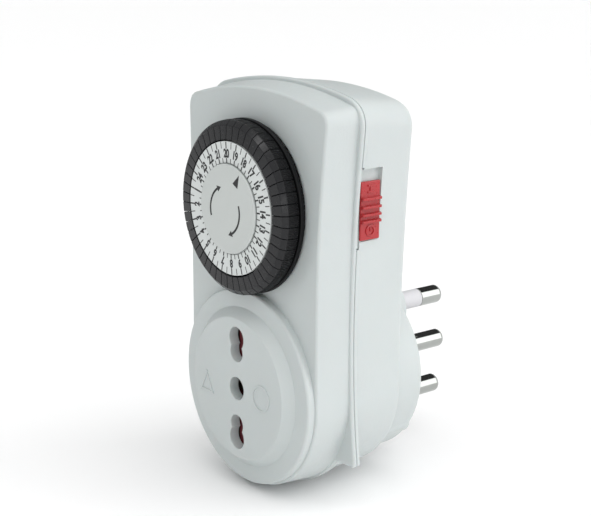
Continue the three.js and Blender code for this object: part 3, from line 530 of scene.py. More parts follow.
def noise(tree, scale, detail=3.0, stretch=(1, 1, 1)):
    """Noise in the object's own space; scale is in features per metre."""
    place = add(tree, "ShaderNodeTexCoord").outputs["Object"]
    mapped = add(tree, "ShaderNodeMapping", Vector=place, Scale=stretch).outputs["Vector"]
    cloud = add(tree, "ShaderNodeTexNoise", Vector=mapped, Scale=scale, Detail=detail, Roughness=0.6)
    return cloud.outputs["Fac"]


def ranged(tree, source, low, high, start=0.3, end=0.7):
    """A value that goes from low to high as the source, such as noise, goes from start to end."""
    spread = add(
        tree, "ShaderNodeMapRange", Value=source, From_Min=start, From_Max=end, To_Min=low, To_Max=high
    )
    return spread.outputs["Result"]


def ramped(tree, source, stops, interpolation="LINEAR"):
    """A colour that goes from one stop to another; a stop is a position and a colour."""
    ramp = add(tree, "ShaderNodeValToRGB", Fac=source)
    ramp.color_ramp.interpolation = interpolation
    for element, (position, colour) in zip(ramp.color_ramp.elements, stops):
        element.position = position
        element.color = (*colour, 1)
    return ramp.outputs["Color"]


def tinted(tree, source, colour, shift):
    """A colour that drifts by shift between darker and lighter with a noise source."""
    darker, lighter = ([min(1.0, c * factor) for c in colour] for factor in (1 - shift, 1 + shift))
    return ramped(tree, source, [(0.3, darker), (0.7, lighter)])


def bumped(tree, layers):
    """One normal from several (height, depth in metres) layers."""
    normal = None
    for height, depth in layers:
        bump = add(tree, "ShaderNodeBump", Strength=1.0, Distance=depth, Height=height)
        if normal is not None:
            tree.links.new(normal, bump.inputs["Normal"])
        normal = bump.outputs["Normal"]
    return normal


def shaded(name, colour, roughness, drift, spread, layers=(), stretch=(1, 1, 1), **sockets):
    """A procedural surface whose colour and roughness drift, with layers of fine relief."""
    made = bpy.data.materials.new(name)
    made.use_nodes = True
    tree = made.node_tree
    tree.nodes.clear()
    broad = noise(tree, 60, 4)
    fine = noise(tree, 900, 3, stretch)
    shader = add(
        tree, "ShaderNodeBsdfPrincipled", Base_Color=tinted(tree, broad, colour, drift),
        Roughness=ranged(tree, fine, roughness - spread, roughness + spread), **sockets,
    )
    add(tree, "ShaderNodeOutputMaterial", Surface=shader.outputs["BSDF"])
    heights = [(noise(tree, scale, 2, stretch), depth) for scale, depth in layers]
    if heights:
        tree.links.new(bumped(tree, heights), shader.inputs["Normal"])
    LOOKS[name] = made
    return made


def ridged(smooth, name):
    """A copy of a black plastic with the dial's rough grip: fine ridges that run along its axis."""
    made = smooth.copy()
    made.name = name
    tree = made.node_tree
    place = add(tree, "ShaderNodeTexCoord").outputs["Object"]
    split = add(tree, "ShaderNodeSeparateXYZ", place)
    up = calculated(tree, "SUBTRACT", split.outputs["Z"], DIAL_Z * MM)
    angle = calculated(tree, "ARCTAN2", up, split.outputs["X"])
    turns = calculated(tree, "MULTIPLY", angle, TAPPETS * RIDGES)
    wave = calculated(tree, "SINE", turns)
    shader = next(node for node in tree.nodes if node.type == "BSDF_PRINCIPLED")
    grain = shader.inputs["Normal"].links[0].from_socket
    ridges = add(tree, "ShaderNodeBump", Strength=1.0, Distance=0.0001, Height=wave, Normal=grain)
    tree.links.new(ridges.outputs["Normal"], shader.inputs["Normal"])
    return made


# Layers of relief, each as (features per metre, depth in metres).
GRAIN = ((3200, 0.000012), (500, 0.00002))
TEXTURE = ((3200, 0.00002), (1300, 0.00003))
SCRATCHES = ((2500, 0.000004), (400, 0.000004))

shaded(
    "casing_plastic", (0.528, 0.57, 0.566), 0.42, 0.015, 0.06, TEXTURE, Subsurface_Weight=0.04,
    Subsurface_Scale=0.002, Specular_IOR_Level=0.45,
)
shaded("dial_black", (0.014, 0.0145, 0.016), 0.24, 0.12, 0.05, GRAIN, Specular_IOR_Level=0.27)
# Painted shade: the drum's black is darker than the dial's, standing in for the shade that the drum
# and flange sit in behind the tappets.
shaded("drum_black_painted_shade", (0.007, 0.0072, 0.008), 0.45, 0.12, 0.05, GRAIN, Specular_IOR_Level=0.15)
# The grip is the drum's darker black with fine ridges: the ridges are real relief, and the darker
# colour is painted shade on the tappets' side walls.
LOOKS["grip_ridges_painted_shade"] = ridged(LOOKS["drum_black_painted_shade"], "grip_ridges_painted_shade")
shaded("number_white", (0.64, 0.67, 0.66), 0.5, 0.02, 0.05, GRAIN)
shaded("disc_grey", (0.54, 0.57, 0.556), 0.5, 0.02, 0.05, GRAIN)
shaded("print_black", (0.012, 0.012, 0.013), 0.55, 0.2, 0.05, GRAIN)
shaded(
    "red_plastic", (0.38, 0.009, 0.013), 0.3, 0.06, 0.05, GRAIN, Coat_Weight=0.3, Coat_Roughness=0.12,
)
shaded("shutter_plastic", (0.13, 0.018, 0.024), 0.4, 0.08, 0.06, GRAIN)
shaded("sleeve_white", (0.6, 0.6, 0.62), 0.4, 0.015, 0.05, GRAIN)
shaded("pin_nickel", (0.4, 0.415, 0.4), 0.09, 0.04, 0.03, SCRATCHES, (1, 0.1, 1), Metallic=1.0)
shaded("steel", (0.5, 0.51, 0.52), 0.34, 0.08, 0.1, SCRATCHES, (1, 0.15, 1), Metallic=1.0)
shaded("brass", (0.66, 0.48, 0.2), 0.3, 0.08, 0.08, SCRATCHES, (1, 1, 0.15), Metallic=1.0)
shaded("insulator", (0.4, 0.33, 0.24), 0.55, 0.1, 0.08, GRAIN)
shaded("acetal", (0.8, 0.77, 0.66), 0.4, 0.03, 0.06, GRAIN, Subsurface_Weight=0.1)
shaded(
    "coil_copper", (0.55, 0.22, 0.09), 0.35, 0.2, 0.1, ((1500, 0.0001),), (0.1, 4, 0.1), Metallic=1.0
)
shaded("ferrite", (0.03, 0.03, 0.033), 0.65, 0.2, 0.1, GRAIN)

# ---- Front casing ----


def crown(z):
    """How far the front face falls back at that height. It is flat up to a height and curves
    above it, where z = flat_top + rise * along + bend * along ** 2."""
    flat_top, rise, bend, fall = 20, 56, 4, 1.495
    if z <= flat_top:
        return 0.0
    along = (math.sqrt(rise ** 2 + 4 * bend * (z - flat_top)) - rise) / (2 * bend)
    return fall * along ** 2


def front_face(z):
    """The depth of the front face at that height."""
    return FACE + crown(z)


def spread_out(outline, y):
    """The front casing's outline at depth y: it grows towards the lip."""
    return flared(outline, (y - FACE) / (FLANGE - FACE), (0.018, 0.02), 0.012, 0.03)


def front_shell_solid():
    """The shell from its crowned face, round the edge, down the side and out over the lip."""
    face, lip, inner = round_ended(FRONT_SIDE), lip_outline(), round_ended(FRONT_INNER_SIDE)
    shell = spread_out(face, FLANGE)
    edge, rim, back = 0.65, 0.15, PARTING - CASING_GAP
    widths, outward = overhang(shell, lip)
    bead = [min(0.6, 0.7 * w) for w in widths]
    fillet = [min(0.2, 0.2 * w) for w in widths]
    rings = []
    for draw, drop in quarter(5):
        ring = inset(spread_out(face, FACE + edge * drop), edge * draw)
        rings.append(raised(ring, lambda z, depth=edge * drop: front_face(z) + depth))
    for draw, drop in quarter(5):
        ring = reached(shell, outward, scaled(fillet, drop))
        rings.append(stepped(ring, FLANGE, scaled(fillet, -draw)))
    for draw, drop in quarter(4):
        rings.append(stepped(inset(lip, scaled(bead, draw)), FLANGE, scaled(bead, drop)))
    for draw, drop in quarter(4):
        rings.append(raised(inset(lip, rim * drop), back - rim * draw))
    rings.append(raised(inner, back))
    rings.append(raised(inner, lambda z: front_face(z) + WALL))
    bm = bmesh.new()
    rows = add_loft(bm, rings)
    add_sheet(bm, rows[0], front_face)
    add_sheet(bm, rows[-1], lambda z: front_face(z) + WALL)
    return finished(bm, "front_shell")


def outlet_solid():
    """The raised round outlet: a ring, and a flat face on a short cone."""
    profile = rounded([
        (0, FACE + 1), (OUTLET_RADIUS, FACE + 1), (OUTLET_RADIUS, OUTLET_RING),
        (STEP_RADIUS, OUTLET_RING), (STEP_RADIUS - 2.25, OUTLET_FACE), (0, OUTLET_FACE),
    ], [0, 0, 0.7, 0.25, 0.6, 0])
    return lathe("outlet", profile, segments=160)


def outlet_hollow():
    """The hollow inside the outlet, a wall's thickness behind its face."""
    profile = [
        (0, FACE + 3), (STEP_RADIUS, FACE + 3), (STEP_RADIUS, OUTLET_RING + WALL),
        (STEP_RADIUS - 3.25, OUTLET_FACE + WALL), (0, OUTLET_FACE + WALL),
    ]
    return lathe("hollow", profile)


def pin_hole(radius, z):
    """A hole through the outlet's face whose rim is slightly rounded."""
    rim = 0.3
    profile = [(0, OUTLET_FACE - 1), (radius + rim, OUTLET_FACE - 1)]
    profile += [(radius + rim * draw, OUTLET_FACE + rim * drop) for draw, drop in quarter(4)]
    profile += [(radius, FACE + 1), (0, FACE + 1)]
    return lathe("hole", profile, z=z, segments=48)


def cylinder(radius, front, back, x=0.0, z=0.0, segments=48):
    return lathe("tool", [(0, front), (radius, front), (radius, back), (0, back)], x, z, segments)


def outlet_marks():
    """Plain raised marks on the outlet's face: a thin ring at the right and a triangle at the left."""
    width, radius, root, top = 0.45, 2.9, OUTLET_FACE + 0.3, OUTLET_FACE - 0.22
    profile = rounded([
        (radius, root), (radius + width, root), (radius + width, top), (radius, top),
    ], [0, 0, 0.08, 0.08], 2)
    ring = lathe("mark", profile, 10.1, 0.1, 64)
    bars = []
    corners = [Vector((-15.2, -3.9)), Vector((-9.8, -3.9)), Vector((-12.5, 1.6))]
    for start, end in zip(corners, corners[1:] + corners[:1]):
        along = (end - start).normalized()
        across = Vector((-along.y, along.x)) * width
        start, end = start - along * 0.1, end + along * 0.1
        outline = [start, end, end + across, start + across]
        bars.append(lofted("mark", [raised(outline, top), raised(outline, root)]))
    return [ring, *bars]


def front_shell():
    """The front casing: shell, outlet, dial well, screw posts and the tongue beside the slider."""
    shell = front_shell_solid()
    cut(shell, outlet_hollow())
    outlet = cut(outlet_solid(), outlet_hollow())
    collar = plate("collar", stadium(5.2, 18), OUTLET_FACE + 1, OUTLET_FACE + 2.8, 0.05)
    well_wall = cylinder(22, FACE + 1.5, FACE + 4.7, 0, DIAL_Z, 96)
    posts = [cylinder(3.2, FACE + 1.2, PARTING - 0.4, x, z) for x, z, _ in SCREWS.values()]
    foot, head = SLOT_FOOT - 1.5, SLOT_HEAD + 0.2
    tongue = block("tongue", (24.6, PARTING - 0.6, foot), (26.6, PARTING + 0.45, head), 0.1)
    join(shell, outlet, collar, well_wall, tongue, *posts)
    well = cylinder(20.6, FACE - 1, FACE + 3.3, 0, DIAL_Z, 96)
    sweep = cylinder(CARRIER_RADIUS + 0.4, OUTLET_FACE - 0.1, FACE, 0, DIAL_Z, 160)
    hub_way = cylinder(5.8, FACE, FACE + 6.3, 0, DIAL_Z)
    window = block("window", (17, FACE + 2.3, DIAL_Z - 1.6), (20.2, FACE + 6.3, DIAL_Z + 1.6))
    ways = [cylinder(1.6, FACE + 3, PARTING + 1, x, z) for x, z, _ in SCREWS.values()]
    holes = [pin_hole(WIDE_HOLE, 0)]
    for side in (-1, 1):
        holes += [pin_hole(WIDE_HOLE, side * PIN_PITCH), pin_hole(NARROW_HOLE, side * NARROW_PITCH)]
    cut(shell, well, sweep, hub_way, window, *ways, *holes)
    join(shell, *outlet_marks())
    return settle(shell, "casing", "casing_plastic", ["front_casing"])


# ---- Rear casing ----


def drafted(outline, y):
    """The rear casing's outline at depth y: it draws in towards the wall, most at the top."""
    along = (y - PARTING) / (REAR_FACE - PARTING)
    return flared(outline, along, (-0.028, -0.03), -0.024, -0.024)


def rear_shell_solid():
    """The shell from its inside, over the lip's rim and back, up the side and round to the back."""
    shell, lip, inner = round_ended(REAR_SIDE), lip_outline(), round_ended(REAR_INNER_SIDE)
    edge = 2.2
    widths, outward = overhang(shell, lip)
    rim = [min(0.25, 0.45 * w) for w in widths]
    fillet = [min(0.6, 0.45 * w) for w in widths]
    rings = [raised(drafted(inner, REAR_FACE - WALL), REAR_FACE - WALL), raised(inner, PARTING)]
    for draw, drop in quarter(3):
        rings.append(stepped(inset(lip, scaled(rim, draw)), PARTING, scaled(rim, drop)))
    for draw, drop in quarter(3):
        ring = inset(drafted(lip, LIP_BACK), scaled(rim, drop))
        rings.append(stepped(ring, LIP_BACK, scaled(rim, -draw)))
    for draw, drop in quarter(3):
        ring = reached(drafted(shell, LIP_BACK), outward, scaled(fillet, draw))
        rings.append(stepped(ring, LIP_BACK, scaled(fillet, drop)))
    for draw, drop in quarter(6):
        y = REAR_FACE - edge * draw
        rings.append(raised(inset(drafted(shell, y), edge * drop), y))
    return lofted("rear_shell", rings)


def boss_solid():
    """The round boss of the plug, with a rounded rim."""
    profile = rounded([
        (0, REAR_FACE - 1), (BOSS_RADIUS, REAR_FACE - 1), (BOSS_RADIUS, BOSS_RIM), (0, BOSS_RIM),
    ], [0, 0, 1.5, 0], 6)
    return lathe("boss", profile, segments=160)


def screw_way(x, z, seat):
    """The stepped hole of a casing screw: its shaft's way, the seat and the well behind it."""
    profile = rounded([
        (0, PARTING - 1), (1.7, PARTING - 1), (1.7, seat), (2.9, seat), (2.9, seat + 3.05),
        (3.4, seat + 3.6), (3.4, seat + 6), (0, seat + 6),
    ], [0, 0, 0, 0, 0.2, 0, 0, 0])
    return lathe("way", profile, x, z, 48)


def slider_slot():
    """The pocket that the override slider runs in, with its neck's way through the wall."""
    pocket = block(
        "pocket", (SLOT_FLOOR, PARTING + SLOT_LEDGE, SLOT_FOOT), (OUTSIDE, PARTING + 7, SLOT_HEAD), 0.2
    )
    ledge = block("ledge", (LEDGE_FLOOR, PARTING - 1, SLOT_FOOT), (OUTSIDE, PARTING + 3, SLOT_HEAD))
    foot, head = SLOT_FOOT - 1.8, SLOT_HEAD + 0.5
    notch = block("notch", (22, PARTING - 1, foot), (OUTSIDE, PARTING + 0.6, head))
    foot, head = SLOT_FOOT + 4.8, SLOT_HEAD - 4.2
    neck = block("neck", (22, PARTING + 2, foot), (OUTSIDE, PARTING + 5.5, head))
    return [pocket, ledge, notch, neck]


def rear_shell():
    """The rear casing: shell, boss, the plug's nose, screw tubes, pin holes and slider pocket."""
    shell = rear_shell_solid()
    nose = plate("nose", stadium(8, 21, 24), BOSS_RIM - 1, PLUG_FACE, 0.6, 4)
    foot, head = SLOT_FOOT - 2, SLOT_HEAD + 1.5
    pad = block("pad", (23.4, PARTING + 0.3, foot), (26, PARTING + 9, head))
    tubes = [
        cylinder(3.8, PARTING + 0.4, (REAR_FACE if z > 0 else BOSS_RIM) - 1, x, z)
        for x, z, _ in SCREWS.values()
    ]
    join(shell, boss_solid())
    cut(shell, cylinder(BOSS_RADIUS - WALL, REAR_FACE - 4, BOSS_RIM - WALL, segments=96))
    join(shell, nose, pad, *tubes)
    holes = [cylinder(2.8, BOSS_RIM - 4, PLUG_FACE + 1, 0, side * PIN_PITCH) for side in (-1, 0, 1)]
    cut(shell, *holes, *[screw_way(*place) for place in SCREWS.values()], *slider_slot())
    return settle(shell, "casing", "casing_plastic", ["rear_casing"])


# ---- Plug pins and screws ----


def pin(node, z, length, core, sleeve_end=None):
    """A round pin with a domed tip and a head behind the plug's face."""
    front, back = PIN_HEAD
    points = [(0, front), (3.6, front), (3.6, back), (core, back)]
    radii = [0, 0.3, 0.3, 0]
    if sleeve_end:
        points += [(core, sleeve_end + 0.1), (PIN_RADIUS, sleeve_end + 0.1)]
        radii += [0, 0.15]
    points += [(PIN_RADIUS, length), (0, length)]
    radii += [1.25, 0]
    made = lathe(node + "_body", rounded(points, radii, 6), z=z, segments=64)
    return settle(made, "casing", "pin_nickel", [node])


def sleeve(node, z):
    """The insulating sleeve of a pin, which starts at the pin's head."""
    bore, start = CORE_RADIUS + 0.1, PIN_HEAD[1] + 0.3
    profile = rounded([
        (bore, start), (PIN_RADIUS, start), (PIN_RADIUS, SLEEVE_LENGTH), (bore, SLEEVE_LENGTH),
    ], [0, 0.1, 0.15, 0])
    made = lathe(node + "_body", profile, z=z, segments=64)
    return settle(made, "casing", "sleeve_white", [node])


def screw(node, x, z, seat):
    """A pan-head screw with a cross recess and a rolled thread."""
    root, crest, pitch, y = 1.15, 1.4, 0.8, FACE + 5.6
    points = [(0, FACE + 4), (0.5, FACE + 4), (root, y)]
    while y < PARTING + 1.5:
        points += [(root, y + 0.1), (crest, y + pitch / 2), (root, y + 0.7)]
        y += pitch
    profile = points + rounded([
        (1.2, y), (1.2, seat + 0.15), (2.6, seat + 0.15), (2.6, seat + 1.9), (0, seat + 1.95),
    ], [0, 0, 0.15, 0.8, 0], 5)
    made = lathe(node + "_body", profile, x, z, 40)
    recess = [
        block("recess", (x - w, seat + 1, z - h), (x + w, seat + 3, z + h), 0.1, 2)
        for w, h in ((1.5, 0.3), (0.3, 1.5))
    ]
    return settle(cut(made, *recess), "casing", "steel", [node])


# ---- Dial ----


def tappet_angle(node):
    """Where a tappet stands on the dial, from +X towards +Z."""
    low, high = cad(node)
    middle = (low + high) / 2
    angle = math.atan2(middle.z - DIAL_Z, middle.x)
    return round(angle / (TAPPET_STEP / 2)) * TAPPET_STEP / 2


def tappet_template():
    """One tappet on the dial's +X side: a bevelled head and the stem behind it."""
    corners = [
        (TAPPET_INNER, 0.3), (21.1, 0.3), (21.35, 2.1), (21.2, 3.55), (20, 4.6), (TAPPET_INNER, 4.9),
    ]
    profile = rounded(
        [(radius, DRUM_FACE - height) for radius, height in corners],
        [0.1, 0.25, 0.8, 0.3, 0.3, 0.15], 3, closed=True,
    )
    flat = [Vector(place) for place in profile]
    if sum(a.cross(b) for a, b in zip(flat, flat[1:] + flat[:1])) < 0:
        flat.reverse()
    edge, gap = 0.12, 0.08
    ends = [(edge * draw, edge * drop) for draw, drop in quarter(3)]
    rings = []
    for side in (-1, 1):
        for shrink, depth in ends if side < 0 else reversed(ends):
            ring = []
            for p in inset(flat, shrink):
                across = side * (p.x * math.tan(TAPPET_STEP / 2) - gap - depth)
                radial = math.sqrt(p.x ** 2 - across ** 2)
                ring.append(Vector((radial, p.y, DIAL_Z + across)))
            rings.append(ring)
        if side < 0:
            rings.append([Vector((p.x, p.y, DIAL_Z)) for p in flat])
    head = lofted("tappet", rings)
    front, back, half = DRUM_FACE - 0.7, DRUM_FACE + 3.2, 0.5
    stem = block("stem", (17.6, front, DIAL_Z - half), (19.6, back, DIAL_Z + half), 0.08, 2)
    return join(head, stem)


def rough_rim(made):
    """Gives the faces that look away from the dial's axis the grip material: real fine ridges, and a
    darker black that is painted shade on the tappets' side walls.
    """
    made.data.materials.append(LOOKS["grip_ridges_painted_shade"])
    for face in made.data.polygons:
        outward = Vector((face.center.x, 0, face.center.z - DIAL_Z * MM)).normalized()
        if face.normal.dot(outward) > 0.9:
            face.material_index = 1


def tappets():
    """Twelve tappets ride on bodies of their own, and the rest stay on the dial."""
    template = tappet_template()
    first = tappet_angle("tappet_01")
    for index in range(TAPPETS):
        node = f"tappet_{index + 1:02d}"
        name, body = node + "_body", node
        if index >= LOOSE_TAPPETS:
            name, body, node = "fixed_" + node, "dial", "tappet_bank"
        made = copy_turned(template, name, first + index * TAPPET_STEP)
        settle(made, body, "dial_black", [node], sharp=40)
        rough_rim(made)
    bpy.data.objects.remove(template)


def carrier():
    """The black drum and flange that carry the tappets, with a slot for each stem."""
    back, step, front = DRUM_FACE + 9.5, DRUM_FACE + 6.8, RING_FRONT + 1.2
    profile = rounded([
        (SPINDLE_HOLE, back), (4.1, back), (4.1, step), (5, step), (5, DRUM_FACE + 1.2),
        (CARRIER_RADIUS, DRUM_FACE + 1.2), (CARRIER_RADIUS, DRUM_FACE), (RING_RADIUS, DRUM_FACE),
        (RING_RADIUS, front), (4.6, front), (4.6, DRUM_FACE - 1.9), (SPINDLE_HOLE, DRUM_FACE - 1.9),
    ], [0, 0.1, 0, 0.1, 0, 0.3, 0.3, 0, 0.2, 0, 0, 0], 4)
    made = lathe("dial_drum", profile, z=DIAL_Z, segments=144)
    front, back, half = DRUM_FACE - 1.5, DRUM_FACE + 2.5, 0.75
    slot = block("slot", (17.35, front, DIAL_Z - half), (19.85, back, DIAL_Z + half))
    first = tappet_angle("tappet_01")
    slots = [copy_turned(slot, "slot", first + i * TAPPET_STEP) for i in range(TAPPETS)]
    bpy.data.objects.remove(slot)
    cut(made, *slots)
    # The darker black on the drum and flange is painted shade.
    return settle(made, "dial", "drum_black_painted_shade", ["dial_carrier"])


def number_ring():
    """The white ring that carries the hours, with a groove round the disc."""
    back, floor_y = RING_FRONT + 1, RING_FRONT + 0.5
    edge, groove = DISC_RADIUS - 0.4, DISC_RADIUS + 0.22
    profile = rounded([
        (5.5, back), (RING_RADIUS, back), (RING_RADIUS, RING_FRONT), (groove, RING_FRONT),
        (groove, floor_y), (edge, floor_y), (edge, RING_FRONT), (5.5, RING_FRONT),
    ], [0, 0, 0.12, 0.04, 0, 0, 0, 0.1])
    made = lathe("number_plate", profile, z=DIAL_Z, segments=160)
    return settle(made, "dial", "number_white", ["number_ring"])


def centre_disc():
    """The disc that stands still inside the turning ring, on a hub round the spindle."""
    back, hub_back, hub_front = RING_FRONT - 0.15, DRUM_FACE - 2.3, DISC_FRONT + 0.3
    profile = rounded([
        (0, back), (DISC_RADIUS, back), (DISC_RADIUS, DISC_FRONT), (0, DISC_FRONT),
    ], [0, 0.05, 0.25, 0], 5)
    made = lathe("pointer_disc", profile, z=DIAL_Z, segments=128)
    corners = [(SPINDLE_HOLE, hub_back), (4, hub_back), (4, hub_front), (SPINDLE_HOLE, hub_front)]
    hub = lathe("hub", corners, 0, DIAL_Z, 48)
    return settle(join(made, hub), "casing", "disc_grey", ["centre_disc"])


# ---- Print on the dial ----

HOURS = 24
TOP_HOUR = 20
TOP_HOUR_ANGLE = math.radians(-3.75)


def dial_point(radius, clockwise, across=0.0):
    """A point of the dial, by radius and by angle clockwise from the top."""
    x = radius * math.sin(clockwise) + across * math.cos(clockwise)
    z = radius * math.cos(clockwise) - across * math.sin(clockwise)
    return Vector((x, DIAL_Z + z))


def add_print(bm, outline, surface):
    """A thin raised patch of ink on the plane y = surface."""
    front = [bm.verts.new((p.x, surface - PRINT_DEPTH, p.y)) for p in outline]
    back = [bm.verts.new((p.x, surface + 0.05, p.y)) for p in outline]
    bm.faces.new(front)
    bm.faces.new(list(reversed(back)))
    for i in range(len(outline)):
        bm.faces.new((front[i], front[i - 1], back[i - 1], back[i]))


def tick_marks():
    """An outer and an inner tick at each tappet; the ones on the hour are bolder."""
    bm = bmesh.new()
    for k in range(TAPPETS):
        clockwise = TOP_HOUR_ANGLE + k * TAPPET_STEP
        half = 0.18 if k % 2 == 0 else 0.11
        for low, high in ((14.5, 16.1), (11.05, 12.2)):
            corners = [(low, -half), (high, -half), (high, half), (low, half)]
            add_print(bm, [dial_point(r, clockwise, t) for r, t in corners], RING_FRONT)
    return settle(finished(bm, "tick_print"), "dial", "print_black")


def numerals():
    """The hours 1 to 24, falling clockwise, with their tops outwards."""
    joined = bmesh.new()
    upright = Matrix.Rotation(math.pi / 2, 4, "X") @ Matrix.Diagonal((0.82, 1, 1, 1))
    for hour in range(1, HOURS + 1):
        words = bpy.data.curves.new("hour", "FONT")
        words.body = str(hour)
        words.size = 2.75 * MM
        words.offset = 0.12 * MM
        words.extrude = 0.035 * MM
        words.space_character = 0.92
        words.align_x = words.align_y = "CENTER"
        holder = placed("hour", words)
        mesh = shaped_mesh(holder)
        clockwise = TOP_HOUR_ANGLE + (TOP_HOUR - hour) * 2 * math.pi / HOURS
        place = dial_point(13.25, clockwise)
        stand = Matrix.Translation((place.x * MM, (RING_FRONT + 0.015) * MM, place.y * MM))
        mesh.transform(stand @ Matrix.Rotation(clockwise, 4, "Y") @ upright)
        joined.from_mesh(mesh)
        bpy.data.objects.remove(holder)
        bpy.data.meshes.remove(mesh)
    mesh = bpy.data.meshes.new("hour_print")
    joined.to_mesh(mesh)
    joined.free()
    return settle(placed("hour_print", mesh), "dial", "print_black")


def disc_print():
    """The pointer, and two thin arrows that show which way the dial turns."""
    bm = bmesh.new()
    pointer = [(10.1, 29), (6.95, 19.5), (6.95, 37.5)]
    add_print(bm, [dial_point(r, math.radians(a)) for r, a in pointer], DISC_FRONT)
    middle, radius, half, steps = Vector((-0.9, -0.6)), 5.85, 0.28, 16
    for start, end, tip in ((-109, -30, -15), (69.5, 151, 166)):
        turns = [math.radians(start + (end - start) * i / steps) for i in range(steps + 1)]
        band = [middle + dial_point(radius + half, t) for t in turns]
        band += [middle + dial_point(radius - half, t) for t in reversed(turns)]
        add_print(bm, band, DISC_FRONT)
        back, front = math.radians(end), math.radians(tip)
        head = [(radius, front), (radius + 0.8, back), (radius - 0.8, back)]
        add_print(bm, [middle + dial_point(r, t) for r, t in head], DISC_FRONT)
    return settle(finished(bm, "disc_print"), "casing", "print_black")


# ---- Override slider and shutter ----


def slider_rib(z, root, top, front, back):
    """One grip rib across the slider's face, with rounded edges and tapered ends."""
    section = rounded([
        (root, z - 0.5), (top, z - 0.28), (top, z + 0.28), (root, z + 0.5),
    ], [0, 0.12, 0.12, 0], 4)
    rings = [
        [Vector((max(root, x - shrink), y, height)) for x, height in section]
        for y, shrink in ((front + 0.05, 0.2), (front + 0.25, 0), (back - 0.25, 0), (back - 0.05, 0.2))
    ]
    return lofted("rib", rings)


def slider_marks(face, middle, foot_z):
    """Raised marks: a bar for always on, and a small clock for timed."""
    root, top = face - 0.2, face + 0.22
    bar_z, clock_z = foot_z + 11.2, foot_z + 2.2
    boxes = [
        (-half, bar_z + low, half, bar_z + high, 0.06, 2)
        for half, low, high in ((0.28, 0, 2), (0.95, 0, 0.45), (0.95, 1.55, 2))
    ]
    boxes += [
        (-0.15, clock_z - 0.12, 0.15, clock_z + 0.75, 0.05, 1),
        (-0.12, clock_z - 0.15, 0.6, clock_z + 0.15, 0.05, 1),
    ]
    bars = [
        block("mark", (root, middle + left, low), (top, middle + right, high), edge, steps)
        for left, low, right, high, edge, steps in boxes
    ]
    profile = [(1, root - face), (1.45, root - face), (1.45, top - face), (1, top - face)]
    ring = lathe("mark", rounded(profile, [0, 0, 0.1, 0.1], 2), segments=40)
    stand = Matrix.Translation((face * MM, middle * MM, clock_z * MM))
    ring.data.transform(stand @ Matrix.Rotation(-math.pi / 2, 4, "Z"))
    return [ring, *bars]


def slider():
    """The slider: a thin pad with ribs, and inside the casing a neck, a foot and a finger."""
    low, high = cad("override_slider")
    front, back, face = PARTING + 0.7, PARTING + 6.75, high.x - 0.9
    made = block("slider_pad", (SLOT_FLOOR + 0.15, front, low.z), (face, back, high.z), 0.25, 4)
    step_top = (LEDGE_FLOOR + 0.15, PARTING + SLOT_LEDGE + 0.2, high.z + 1)
    cut(made, block("step", (25, front - 1, low.z - 1), step_top))
    ribs = [
        slider_rib(low.z + height, face - 0.3, high.x, front, back) for height in (4.5, 6.1, 7.9, 9.9)
    ]
    neck = block("neck", (22.8, PARTING + 2.3, 45), (SLOT_FLOOR + 0.4, PARTING + 5.2, 50), 0.1)
    foot = block("foot", (21.4, PARTING + 0.9, 43), (23.1, PARTING + 6.5, 52), 0.2)
    finger = block("finger", (21.4, PARTING - 4.9, 47.5), (22.6, PARTING + 1.2, 49.5), 0.2)
    join(made, *ribs, neck, foot, finger)
    join(made, *slider_marks(face, (front + back) / 2, low.z))
    return settle(made, "override_slider", "red_plastic", ["override_slider"])


def shutter():
    """The shutter: a plate with a window and a raised pad beside each hole."""
    made = block("shutter_plate", (-11, FACE + 0.1, -16.9), (4.8, FACE + 1.6, 16.9), 0.2)
    lows, height = (6.4, -15.9), 9.5
    front = OUTLET_FACE + 3.15
    join(made, *[block("pad", (-2.9, front, z), (3, FACE + 1, z + height), 0.25) for z in lows])
    windows = [block("window", (-9.4, FACE - 1, z), (-3, FACE + 3, z + height)) for z in lows]
    earth = block("window", (-9.4, FACE - 1, -3.2), (3.2, FACE + 3, 3.2))
    cut(made, *windows, earth)
    return settle(made, "outlet_shutter", "shutter_plastic", ["outlet_shutter"])


def shutter_spring():
    """A wound compression spring, closed at both ends, built at one length."""
    low, high = cad("shutter_spring")
    wire, turns, steps, sides = 0.17, 8, 28, 10
    radius = (high.z - low.z) / 2 - wire
    middle = (low + high) / 2
    count = turns * steps
    path = []
    for i in range(count + 1):
        t = i / count
        angle = 2 * math.pi * turns * t
        along = t - 0.75 * math.sin(2 * math.pi * t) / (2 * math.pi)
        outward = Vector((0, math.cos(angle), math.sin(angle)))
        x = low.x + wire + along * (high.x - low.x - 2 * wire)
        path.append((Vector((x, middle.y, middle.z)) + outward * radius, outward))
    rings = []
    for i, (place, outward) in enumerate(path):
        before, after = path[max(0, i - 1)][0], path[min(count, i + 1)][0]
        across = (after - before).normalized().cross(outward)
        turns_round = [2 * math.pi * k / sides for k in range(sides)]
        rings.append([
            place + (outward * math.cos(a) + across * math.sin(a)) * wire for a in turns_round
        ])
    made = settle(lofted("shutter_coil", rings), "casing", "steel", ["shutter_spring"])
    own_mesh(made)
    return made


# ---- Carried-over pieces ----


def finish_carried_over():
    """Gives the CAD nodes that stay the detailed material of their slot."""
    slots = {part["node"]: part["material_slot"] for part in frame["record"]["subparts"]}
    for node, piece in frame["nodes"].items():
        if piece.hide_render:
            continue
        piece.data.materials.clear()
        piece.data.materials.append(LOOKS[slots[node]])


# ---- Stage ----


